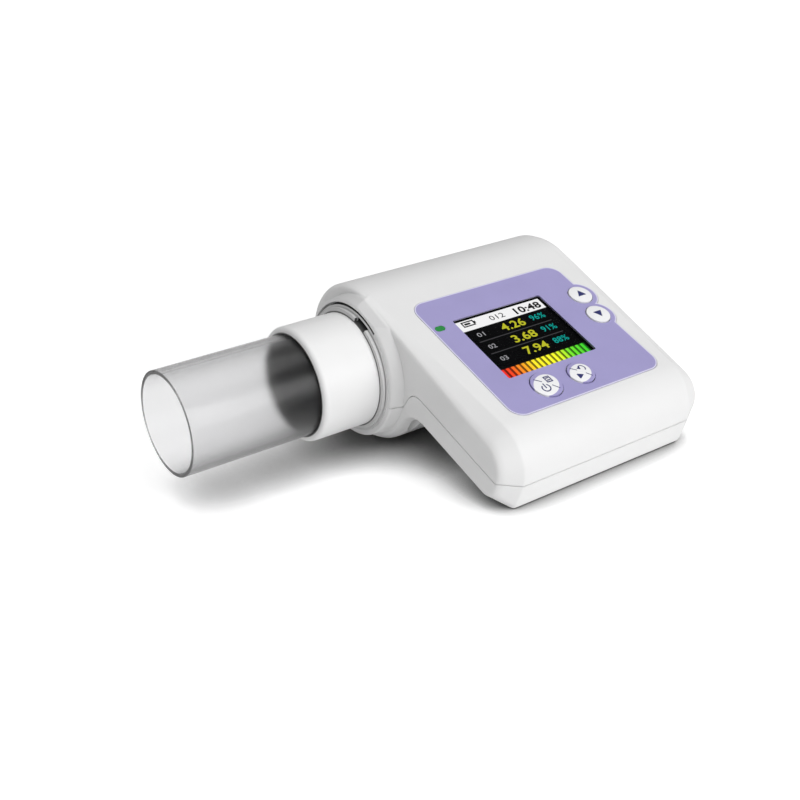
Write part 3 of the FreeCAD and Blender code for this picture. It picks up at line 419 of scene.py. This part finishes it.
def foil(name, colour):
    n = Nodes(name)
    creases = n.noise(240.0, 6.0)
    shader = n.principled(
        Base_Color=n.mix(n.spread(creases, 0.0, 1.0), rgb(colour, 0.85), rgb(colour)),
        Metallic=0.9,
        Roughness=n.spread(creases, 0.25, 0.4),
        Normal=n.bump(creases, 0.25, 0.1 * MM),
    )
    return n.finish(shader)


def panel_place(n):
    """Panel coordinates in millimetres, along and uphill, as two sockets."""
    shift = n.add("ShaderNodeVectorMath", operation="SUBTRACT")
    n.link(n.place(), shift.inputs[0])
    shift.inputs[1].default_value = PANEL_CENTRE
    parts = []
    for axis in (ALONG, UPHILL):
        dot = n.add("ShaderNodeVectorMath", operation="DOT_PRODUCT")
        n.link(shift.outputs[0], dot.inputs[0])
        dot.inputs[1].default_value = axis / MM
        parts.append(dot.outputs["Value"])
    return parts


def rounded_box_distance(n, u, w, centre, half, corner):
    """Distance in millimetres to a rounded rectangle, negative inside."""
    over = []
    for value, middle, reach in zip((u, w), centre, half):
        offset = n.math("ABSOLUTE", n.math("SUBTRACT", value, middle))
        over.append(n.math("SUBTRACT", offset, reach - corner))
    outside = [n.math("MAXIMUM", value, 0.0) for value in over]
    squares = [n.math("POWER", value, 2.0) for value in outside]
    length = n.math("SQRT", n.math("ADD", *squares))
    inside = n.math("MINIMUM", n.math("MAXIMUM", *over), 0.0)
    return n.math("SUBTRACT", n.math("ADD", length, inside), corner)


def circle_distance(n, u, w, centre, radius):
    across = n.math("POWER", n.math("SUBTRACT", u, centre[0]), 2.0)
    along = n.math("POWER", n.math("SUBTRACT", w, centre[1]), 2.0)
    return n.math("SUBTRACT", n.math("SQRT", n.math("ADD", across, along)), radius)


def overlay_film(name):
    """Lavender printed film with a painted highlight, a lighter band along the cut edge round the
    outline.
    """
    n = Nodes(name)
    u, w = panel_place(n)
    centre = ((OVERLAY_LEFT + OVERLAY_RIGHT) / 2, (OVERLAY_TOP + OVERLAY_BOTTOM) / 2)
    half = ((OVERLAY_RIGHT - OVERLAY_LEFT) / 2, (OVERLAY_TOP - OVERLAY_BOTTOM) / 2)
    edge = rounded_box_distance(n, u, w, centre, half, OVERLAY_CORNER)
    for key in ("key_up", "key_down"):
        scallop = circle_distance(n, u, w, KEYS[key][:2], OVERLAY_SCALLOP)
        edge = n.math("MINIMUM", edge, scallop)
    # painted highlight: lighter colour in a thin band just inside the film's cut edge
    rim = n.spread(edge, 0.0, 1.0, (-OVERLAY_HIGHLIGHT - 0.1, -OVERLAY_HIGHLIGHT + 0.1))
    cloud = n.spread(n.noise(70.0), 0.0, 1.0)
    film = n.mix(cloud, *LAVENDER)
    fine = n.noise(1800.0, 3.0)
    shader = n.principled(
        Base_Color=n.mix(rim, film, (0.72, 0.7, 0.88, 1)),
        Roughness=n.spread(fine, 0.36, 0.5),
        Normal=n.bump(fine, 0.06, 0.02 * MM),
    )
    return n.finish(shader)


def pixel_shade(n):
    """Darker lines between the screen's pixels, as a factor near 1."""
    u, w = panel_place(n)
    lines = []
    for value in (u, w):
        cell = n.math("FRACT", n.math("MULTIPLY", value, 4.8))
        lines.append(n.spread(cell, 0.86, 1.0, (0.0, 0.18)))
    return n.math("MULTIPLY", *lines)


def glowing(name, colour, strength=1.0):
    """Screen graphics: coloured light broken up by the pixel grid."""
    n = Nodes(name)
    shade = pixel_shade(n)
    black = (0.0, 0.0, 0.0, 1)
    shader = n.principled(
        Base_Color=(0.004, 0.004, 0.004, 1),
        Roughness=0.6,
        Specular_IOR_Level=0.1,
        Emission_Color=n.mix(shade, black, rgb(colour)),
        Emission_Strength=strength,
    )
    return n.finish(shader)


def level_colours(name, strength):
    """Bar graph that runs from red over yellow to green along the screen."""
    n = Nodes(name)
    u, w = panel_place(n)
    along = n.spread(u, 0.0, 1.0, (-SCREEN_WIDTH / 2, SCREEN_WIDTH / 2))
    stops = [
        (0.0, (0.75, 0.01, 0.01)),
        (0.1, (0.8, 0.06, 0.01)),
        (0.24, (0.85, 0.3, 0.01)),
        (0.38, (0.9, 0.75, 0.02)),
        (0.62, (0.8, 0.85, 0.02)),
        (0.78, (0.15, 0.7, 0.02)),
        (1.0, (0.02, 0.55, 0.02)),
    ]
    colour = n.ramp(along, stops)
    shader = n.principled(
        Base_Color=(0.004, 0.004, 0.004, 1),
        Roughness=0.6,
        Specular_IOR_Level=0.1,
        Emission_Color=n.mix(pixel_shade(n), (0.0, 0.0, 0.0, 1), colour),
        Emission_Strength=strength,
    )
    return n.finish(shader)


def lit_lens(name, colour):
    n = Nodes(name)
    cloud = n.noise(700.0, 2.0)
    shader = n.principled(
        Base_Color=n.mix(n.spread(cloud, 0.0, 1.0), rgb(colour, 0.8), rgb(colour)),
        Roughness=n.spread(cloud, 0.15, 0.25),
        Emission_Color=rgb(colour),
        Emission_Strength=0.12,
    )
    return n.finish(shader)


def printed(name, colour):
    n = Nodes(name)
    grain = n.noise(2500.0, 3.0)
    shader = n.principled(
        Base_Color=n.mix(n.spread(grain, 0.0, 1.0), rgb(colour, 0.85), rgb(colour, 1.1)),
        Roughness=n.spread(grain, 0.35, 0.5),
    )
    return n.finish(shader)


MATERIALS = {
    "white_shell": moulded("white_shell", (0.80, 0.80, 0.80), 0.42, edge=0.5, coat=0.05,
                           flare=boss_flare),
    "white_key": moulded("white_key", (0.88, 0.88, 0.89), 0.35, edge=0.2),
    "white_liner": throat_painted_shade("white_liner", (0.72, 0.72, 0.72)),
    "white_collar": moulded("white_collar", (0.84, 0.84, 0.84), 0.4, coat=0.05,
                            shade_painter=collar_painted_shade),
    "lavender_overlay": overlay_film("lavender_overlay"),
    "clear_window": thin_window("clear_window"),
    "clear_tube": clear("clear_tube", (0.95, 0.96, 0.97)),
    "smoky_tube": hazy("smoky_tube", (0.83, 0.83, 0.835), 0.22),
    "black_module": moulded("black_module", (0.004, 0.004, 0.005), 0.3, edge=0.05, ior=1.15),
    "black_foam": foam("black_foam", (0.03, 0.03, 0.03)),
    "green_lens": lit_lens("green_lens", (0.012, 0.24, 0.045)),
    "green_board": circuit_board("green_board"),
    "bright_metal": metal("bright_metal", (0.75, 0.75, 0.77), 0.22),
    "screw_steel": metal("screw_steel", (0.62, 0.63, 0.65), 0.3),
    "cell_foil": foil("cell_foil", (0.75, 0.76, 0.78)),
    "dark_sensor": moulded("dark_sensor", (0.02, 0.015, 0.03), 0.1),
    "clear_sensor": clear("clear_sensor", (0.9, 0.93, 0.98), 0.05),
    "amber_flex": moulded("amber_flex", (0.55, 0.25, 0.04), 0.3),
    "bearing_plastic": moulded("bearing_plastic", (0.75, 0.74, 0.68), 0.35),
    "black_vane": moulded("black_vane", (0.02, 0.02, 0.023), 0.35),
}


def oval_key(name, centre, reach, breadth, turn):
    """White key whose rim carries the film's lavender outside a slanting oval."""
    n = Nodes(name)
    u, w = panel_place(n)
    c = math.cos(math.radians(turn))
    s = math.sin(math.radians(turn))
    across = n.math("SUBTRACT", u, centre[0])
    along = n.math("SUBTRACT", w, centre[1])
    major = n.math(
        "ADD", n.math("MULTIPLY", across, c / reach), n.math("MULTIPLY", along, s / reach))
    minor = n.math(
        "SUBTRACT", n.math("MULTIPLY", along, c / breadth), n.math("MULTIPLY", across, s / breadth))
    far = n.math("SQRT", n.math("ADD", n.math("POWER", major, 2.0), n.math("POWER", minor, 2.0)))
    rim = n.spread(far, 0.0, 1.0, (0.98, 1.01))
    fine = n.noise(1800.0, 2.0)
    cloud = n.spread(n.noise(70.0), 0.0, 1.0)
    film = n.mix(cloud, *LAVENDER)
    shader = n.principled(
        Base_Color=n.mix(rim, (0.88, 0.88, 0.89, 1), film),
        Roughness=n.spread(fine, 0.34, 0.46),
        Normal=n.bump(fine, GRAIN_STRENGTH, GRAIN_DEPTH),
    )
    return n.finish(shader)


OVAL_KEYS = {
    "key_power": oval_key("white_key_power", (-8.65, -20.0), 4.75, 3.55, 31.0),
    "key_menu": oval_key("white_key_menu", (4.35, -20.0), 4.2, 3.05, 30.0),
}


def dress_nodes():
    """Each carried-over node takes the finish of its record slot."""
    for part in frame["record"]["subparts"]:
        node = nodes[part["node"]]
        node.data.materials.clear()
        finish = OVAL_KEYS.get(part["node"], MATERIALS[part["material_slot"]])
        node.data.materials.append(finish)
        for face in node.data.polygons:
            face.material_index = 0


# Flat artwork on the panel

def flat_mesh(name, outlines, level):
    """Thin raised shapes on the panel, from closed outlines in millimetres."""
    work = bmesh.new()
    for outline in outlines:
        verts = [work.verts.new(Vector((u, w, level))) for u, w in outline]
        work.faces.new(verts)
    faces = list(work.faces)
    lifted = bmesh.ops.extrude_face_region(work, geom=faces)
    tops = [v for v in lifted["geom"] if isinstance(v, bmesh.types.BMVert)]
    bmesh.ops.translate(work, verts=tops, vec=Vector((0, 0, INK_THICKNESS)))
    bmesh.ops.recalc_face_normals(work, faces=work.faces)
    return place_on_panel(name, work)


def place_on_panel(name, work):
    """Object from a bmesh in panel millimetres."""
    mesh = bpy.data.meshes.new(name)
    work.to_mesh(mesh)
    work.free()
    mesh.transform(Matrix.Scale(MM, 4))
    mesh.transform(PANEL)
    piece = bpy.data.objects.new(name, mesh)
    bpy.context.scene.collection.objects.link(piece)
    return piece


def give(piece, material, body):
    piece.data.materials.clear()
    piece.data.materials.append(material)
    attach(piece, body)
    return piece


def rectangle(left, bottom, width, height):
    right = left + width
    top = bottom + height
    return [(left, bottom), (right, bottom), (right, top), (left, top)]


def digits(name, text, centre, width, height, level, weight=0.0):
    """Plain digits as thin raised shapes, fitted to a box about a centre on the panel."""
    curve = bpy.data.curves.new(name, "FONT")
    curve.body = text
    curve.resolution_u = 3
    curve.offset = weight
    curve.space_character = 1.0 + weight
    holder = bpy.data.objects.new(name + "_text", curve)
    bpy.context.scene.collection.objects.link(holder)
    graph = bpy.context.evaluated_depsgraph_get()
    mesh = bpy.data.meshes.new_from_object(holder.evaluated_get(graph))
    bpy.data.objects.remove(holder)
    work = bmesh.new()
    work.from_mesh(mesh)
    bpy.data.meshes.remove(mesh)
    xs = [v.co.x for v in work.verts]
    ys = [v.co.y for v in work.verts]
    middle = ((min(xs) + max(xs)) / 2, (min(ys) + max(ys)) / 2)
    across = width / (max(xs) - min(xs))
    along = height / (max(ys) - min(ys))
    for vert in work.verts:
        vert.co.x = centre[0] + (vert.co.x - middle[0]) * across
        vert.co.y = centre[1] + (vert.co.y - middle[1]) * along
        vert.co.z = level
    faces = list(work.faces)
    lifted = bmesh.ops.extrude_face_region(work, geom=faces)
    tops = [v for v in lifted["geom"] if isinstance(v, bmesh.types.BMVert)]
    bmesh.ops.translate(work, verts=tops, vec=Vector((0, 0, INK_THICKNESS)))
    bmesh.ops.recalc_face_normals(work, faces=work.faces)
    return place_on_panel(name, work)


def make_screen():
    """Picture on the screen: header, three readings with percentages, and a level bar."""
    left = -SCREEN_WIDTH / 2
    base = SCREEN_DEPTH
    ink = SCREEN_DEPTH + INK_STEP

    white = glowing("screen_white", (0.93, 0.93, 0.93))
    black = glowing("screen_black", (0.004, 0.004, 0.004))
    yellow = glowing("screen_yellow", (0.52, 0.52, 0.02))
    teal = glowing("screen_teal", (0.0, 0.36, 0.31))
    grey = glowing("screen_grey", (0.38, 0.38, 0.40))
    dim = glowing("screen_dim", (0.06, 0.06, 0.065))

    def show(piece, material):
        give(piece, material, "housing")

    header = rectangle(left, HEADER_FOOT, SCREEN_WIDTH, HEADER_HEIGHT)
    show(flat_mesh("screen_header", [header], base), white)
    cell = [
        rectangle(-14.2, 10.2, 4.4, 0.45),
        rectangle(-14.2, 12.0, 4.4, 0.45),
        rectangle(-14.2, 10.65, 0.45, 1.35),
        rectangle(-10.25, 10.65, 0.45, 1.35),
        rectangle(-9.8, 10.9, 0.5, 0.9),
        rectangle(-13.4, 10.95, 2.1, 0.75),
    ]
    show(flat_mesh("screen_cell", cell, ink), black)
    show(digits("screen_count", "012", (-1.6, 10.8), 5.4, 2.0, ink), black)
    show(digits("screen_clock", "10:48", (10.1, 10.6), 10.0, 2.8, ink, 0.03), black)

    rows = ((6.0, "01", "4.26", "96%"), (0.5, "02", "3.68", "91%"), (-5.0, "03", "7.94", "88%"))
    for w, label, value, share in rows:
        show(digits("screen_row_" + label, label, (-11.4, w), 2.6, 1.7, base), grey)
        show(digits("screen_value_" + label, value, (0.7, w), 8.8, 3.2, base, 0.02), yellow)
        show(digits("screen_share_" + label, share, (10.4, w + 0.2), 5.5, 2.3, base, 0.01), teal)
    lines = [rectangle(-14.0, w, 27.6, 0.25) for w in (3.1, -2.3)]
    show(flat_mesh("screen_lines", lines, base), dim)

    pitch = SCREEN_WIDTH / LEVEL_BARS
    bright = []
    shade = []
    for index in range(LEVEL_BARS):
        start = left + pitch * index
        behind = left + pitch * (index + SHADE_START)
        bright.append(rectangle(start, LEVEL_FOOT, pitch * BAR_SHARE, LEVEL_HEIGHT))
        shade.append(rectangle(behind, LEVEL_FOOT, pitch * SHADE_SHARE, LEVEL_HEIGHT))
    show(flat_mesh("screen_level", bright, base), level_colours("screen_level", 1.25))
    show(flat_mesh("screen_level_shade", shade, base), level_colours("screen_level_shade", 0.28))


def dome_height(key, u, w):
    """Height of a key's domed top above the panel."""
    centre_u, centre_w, radius = KEYS[key]
    sphere = (radius * radius + KEY_CROWN * KEY_CROWN) / (2 * KEY_CROWN)
    off = (u - centre_u) ** 2 + (w - centre_w) ** 2
    return KEY_TOP - sphere + math.sqrt(sphere * sphere - off)


def key_symbol(key, shapes, colour):
    """Printed symbol that follows the domed top of a key; shapes are outlines about its centre."""
    centre_u, centre_w, radius = KEYS[key]
    work = bmesh.new()
    for shape in shapes:
        verts = [work.verts.new(Vector((centre_u + u, centre_w + w, 0))) for u, w in shape]
        work.faces.new(verts)
    bmesh.ops.triangulate(work, faces=work.faces)
    for cut in range(2):
        bmesh.ops.subdivide_edges(work, edges=work.edges, cuts=1, use_grid_fill=True)
    bmesh.ops.triangulate(work, faces=work.faces)
    for vert in work.verts:
        vert.co.z = dome_height(key, vert.co.x, vert.co.y) + 0.01
    faces = list(work.faces)
    lifted = bmesh.ops.extrude_face_region(work, geom=faces)
    tops = [v for v in lifted["geom"] if isinstance(v, bmesh.types.BMVert)]
    bmesh.ops.translate(work, verts=tops, vec=Vector((0, 0, 0.02)))
    bmesh.ops.recalc_face_normals(work, faces=work.faces)
    piece = place_on_panel(key + "_symbol", work)
    give(piece, colour, key + "_body")


def turned(points, angle, u=0.0, w=0.0):
    """Points turned about the origin by degrees, then moved."""
    c = math.cos(math.radians(angle))
    s = math.sin(math.radians(angle))
    return [(x * c - y * s + u, x * s + y * c + w) for x, y in points]


def ring_pieces(u, w, radius, width, start, end, steps=14):
    """Short quads along an arc, from start to end in degrees."""
    shapes = []
    for index in range(steps):
        a = math.radians(start + (end - start) * index / steps)
        b = math.radians(start + (end - start) * (index + 1) / steps)
        inner = radius - width
        shapes.append([
            (u + inner * math.cos(a), w + inner * math.sin(a)),
            (u + radius * math.cos(a), w + radius * math.sin(a)),
            (u + radius * math.cos(b), w + radius * math.sin(b)),
            (u + inner * math.cos(b), w + inner * math.sin(b)),
        ])
    return shapes


def make_key_symbols():
    navy = printed("navy_ink", (0.008, 0.011, 0.13))
    triangle = [(-1.55, -0.9), (1.55, -0.9), (0.0, 1.65)]
    key_symbol("key_up", [triangle], navy)
    key_symbol("key_down", [turned(triangle, 180)], navy)

    # Both lower keys are split by a slanting line, with one small symbol on each side.
    slant = -48
    for key, radius in (("key_power", 3.9), ("key_menu", 3.4)):
        strokes = [
            turned(rectangle(-radius, -0.13, radius * 0.62, 0.26), slant),
            turned(rectangle(radius * 0.38, -0.13, radius * 0.62, 0.26), slant),
        ]
        if key == "key_power":
            strokes += ring_pieces(-1.35, -1.35, 1.45, 0.36, 125, 415)
            strokes.append(rectangle(-1.53, -1.5, 0.36, 1.9))
            strokes += frame_shape(1.45, 1.35, 2.2, 2.5, 0.36)
            strokes.append(rectangle(0.85, 1.65, 1.2, 0.4))
            strokes.append(rectangle(0.85, 0.75, 1.2, 0.4))
        else:
            strokes += ring_pieces(1.15, 1.15, 1.25, 0.34, -60, 150)
            strokes.append(turned([(-0.75, 0.0), (0.75, 0.0), (0.0, 1.0)], 200, 0.1, 1.75))
            strokes.append(turned([(-1.0, -0.8), (1.0, -0.8), (0.0, 1.0)], -90, -1.15, -1.2))
            strokes.append(rectangle(-2.15, -2.05, 0.4, 1.7))
        key_symbol(key, strokes, navy)


def frame_shape(u, w, width, height, line):
    """Four strokes of a small upright rectangle about a point."""
    left = u - width / 2
    bottom = w - height / 2
    return [
        rectangle(left, bottom, width, line),
        rectangle(left, bottom + height - line, width, line),
        rectangle(left, bottom + line, line, height - 2 * line),
        rectangle(left + width - line, bottom + line, line, height - 2 * line),
    ]


# Lip that closes the groove round the liner's rim, but for the arc over the top

def make_boss_lip():
    inner = 19.05 * MM
    outer = 19.85 * MM
    front = -10.55 * MM
    back = -9.4 * MM
    start = 132.0
    end = 380.0
    steps = 96
    work = bmesh.new()
    rows = []
    for index in range(steps + 1):
        angle = math.radians(start + (end - start) * index / steps)
        row = []
        for along, radius in ((back, inner), (front, inner), (front, outer), (back, outer)):
            row.append(work.verts.new(Vector((
                along, AXIS_Y + radius * math.cos(angle), AXIS_Z + radius * math.sin(angle)))))
        rows.append(row)
    for one, two in zip(rows, rows[1:]):
        for index in range(4):
            after = (index + 1) % 4
            work.faces.new((one[index], one[after], two[after], two[index]))
    work.faces.new(rows[0])
    work.faces.new(rows[-1])
    bmesh.ops.recalc_face_normals(work, faces=work.faces)
    mesh = bpy.data.meshes.new("socket_lip")
    work.to_mesh(mesh)
    work.free()
    piece = bpy.data.objects.new("socket_lip", mesh)
    bpy.context.scene.collection.objects.link(piece)
    give(piece, MATERIALS["white_shell"], "housing")


# Studio

CAMERA_OFFSET = Vector((-224.97, -247.07, 135.45)) * MM    # from the window's centre
CAMERA_AZIMUTH = math.radians(-36.08)
CAMERA_ELEVATION = math.radians(25.03)
CAMERA_ROLL = math.radians(-1.41)
CAMERA_LENS = 55.96


def make_camera():
    data = bpy.data.cameras.new("camera")
    data.lens = CAMERA_LENS
    data.sensor_width = 36.0
    data.clip_start = 0.01
    data.clip_end = 20.0
    camera = bpy.data.objects.new("camera", data)
    bpy.context.scene.collection.objects.link(camera)
    level = math.cos(CAMERA_ELEVATION)
    back = Vector((
        math.sin(CAMERA_AZIMUTH) * level,
        -math.cos(CAMERA_AZIMUTH) * level,
        math.sin(CAMERA_ELEVATION),
    ))
    right = Vector((math.cos(CAMERA_AZIMUTH), math.sin(CAMERA_AZIMUTH), 0))
    up = back.cross(right)
    rolled_right = right * math.cos(CAMERA_ROLL) + up * math.sin(CAMERA_ROLL)
    rolled_up = up * math.cos(CAMERA_ROLL) - right * math.sin(CAMERA_ROLL)
    turn = Matrix((rolled_right, rolled_up, back)).transposed()
    camera.matrix_world = Matrix.Translation(PANEL_CENTRE + CAMERA_OFFSET) @ turn.to_4x4()
    bpy.context.scene.camera = camera


def make_lamp(name, place, size, power, target):
    data = bpy.data.lights.new(name, "AREA")
    data.shape = "DISK"
    data.size = size
    data.energy = power
    lamp = bpy.data.objects.new(name, data)
    bpy.context.scene.collection.objects.link(lamp)
    lamp.location = place
    lamp.rotation_mode = "QUATERNION"
    lamp.rotation_quaternion = (target - Vector(place)).to_track_quat("-Z", "Y")


def make_studio():
    """Standard view, even white surround, and two soft lamps."""
    scene = bpy.context.scene
    scene.view_settings.view_transform = "Standard"
    world = bpy.data.worlds.new("surround")
    scene.world = world
    world.use_nodes = True
    tree = world.node_tree
    tree.nodes.clear()
    output = tree.nodes.new("ShaderNodeOutputWorld")
    ambient = tree.nodes.new("ShaderNodeBackground")
    ambient.inputs["Color"].default_value = (1, 1, 1, 1)
    ambient.inputs["Strength"].default_value = 0.39
    seen = tree.nodes.new("ShaderNodeBackground")
    seen.inputs["Color"].default_value = (1, 1, 1, 1)
    seen.inputs["Strength"].default_value = 1.0
    rays = tree.nodes.new("ShaderNodeLightPath")
    either = tree.nodes.new("ShaderNodeMath")
    either.operation = "MAXIMUM"
    mix = tree.nodes.new("ShaderNodeMixShader")
    tree.links.new(rays.outputs["Is Camera Ray"], either.inputs[0])
    tree.links.new(rays.outputs["Is Transmission Ray"], either.inputs[1])
    tree.links.new(either.outputs[0], mix.inputs[0])
    tree.links.new(ambient.outputs[0], mix.inputs[1])
    tree.links.new(seen.outputs[0], mix.inputs[2])
    tree.links.new(mix.outputs[0], output.inputs["Surface"])

    middle = Vector(((cad_low.x + cad_high.x) / 2, (cad_low.y + cad_high.y) / 2, 0.02))
    make_lamp("front_lamp", (0.25, -1.5, 0.55), 1.4, 14.6, middle)
    make_lamp("top_lamp", (0.1, -0.2, 1.6), 1.6, 9.5, middle)


def make_floor():
    """White floor with a painted shadow where the body is close above it, falling off into dark
    corners under the body, and a painted glow that lifts the open floor towards white.
    """
    n = Nodes("floor")
    grain = n.spread(n.noise(3.0), 0.0, 1.0)
    closed = n.add("ShaderNodeAmbientOcclusion", samples=24)
    closed.inputs["Distance"].default_value = 0.02
    open_share = n.spread(closed.outputs["AO"], 0.0, 1.0, (0.2, 0.7))
    matt = n.add("ShaderNodeBsdfDiffuse")
    pale = n.mix(grain, (0.95, 0.95, 0.95, 1), (0.96, 0.96, 0.96, 1))
    glow = n.add("ShaderNodeEmission")
    rays = n.add("ShaderNodeLightPath")
    seen = n.math("MAXIMUM", rays.outputs["Is Camera Ray"], rays.outputs["Is Transmission Ray"])
    # painted shadow: for camera and transmission rays the floor's colour darkens where ambient
    # occlusion finds the body close
    shade = n.math("MULTIPLY", seen, n.math("SUBTRACT", 1.0, open_share))
    painted_shade_share = n.math("MULTIPLY", shade, 0.85)
    n.link(n.mix(painted_shade_share, pale, (0.02, 0.02, 0.02, 1)), matt.inputs["Color"])
    # painted light: glow that lifts the open floor towards white, stronger further from the middle
    length = n.add("ShaderNodeVectorMath", operation="LENGTH")
    n.link(n.place(), length.inputs[0])
    lift = n.spread(length.outputs["Value"], 0.34, 0.6, (0.2, 0.8))
    glare = n.math("MULTIPLY", seen, n.math("MULTIPLY", lift, open_share))
    n.link(glare, glow.inputs["Strength"])
    both = n.add("ShaderNodeAddShader")
    n.link(matt.outputs[0], both.inputs[0])
    n.link(glow.outputs[0], both.inputs[1])
    material = n.finish(both)
    size = 6.0
    work = bmesh.new()
    bmesh.ops.create_grid(work, x_segments=4, y_segments=4, size=size / 2)
    mesh = bpy.data.meshes.new("floor")
    work.to_mesh(mesh)
    work.free()
    floor = bpy.data.objects.new("floor", mesh)
    floor.data.materials.append(material)
    bpy.context.scene.collection.objects.link(floor)
    floor.location = (0, 0, -0.0002)


dress_nodes()
make_screen()
make_key_symbols()
make_boss_lip()
make_studio()
make_floor()
make_camera()
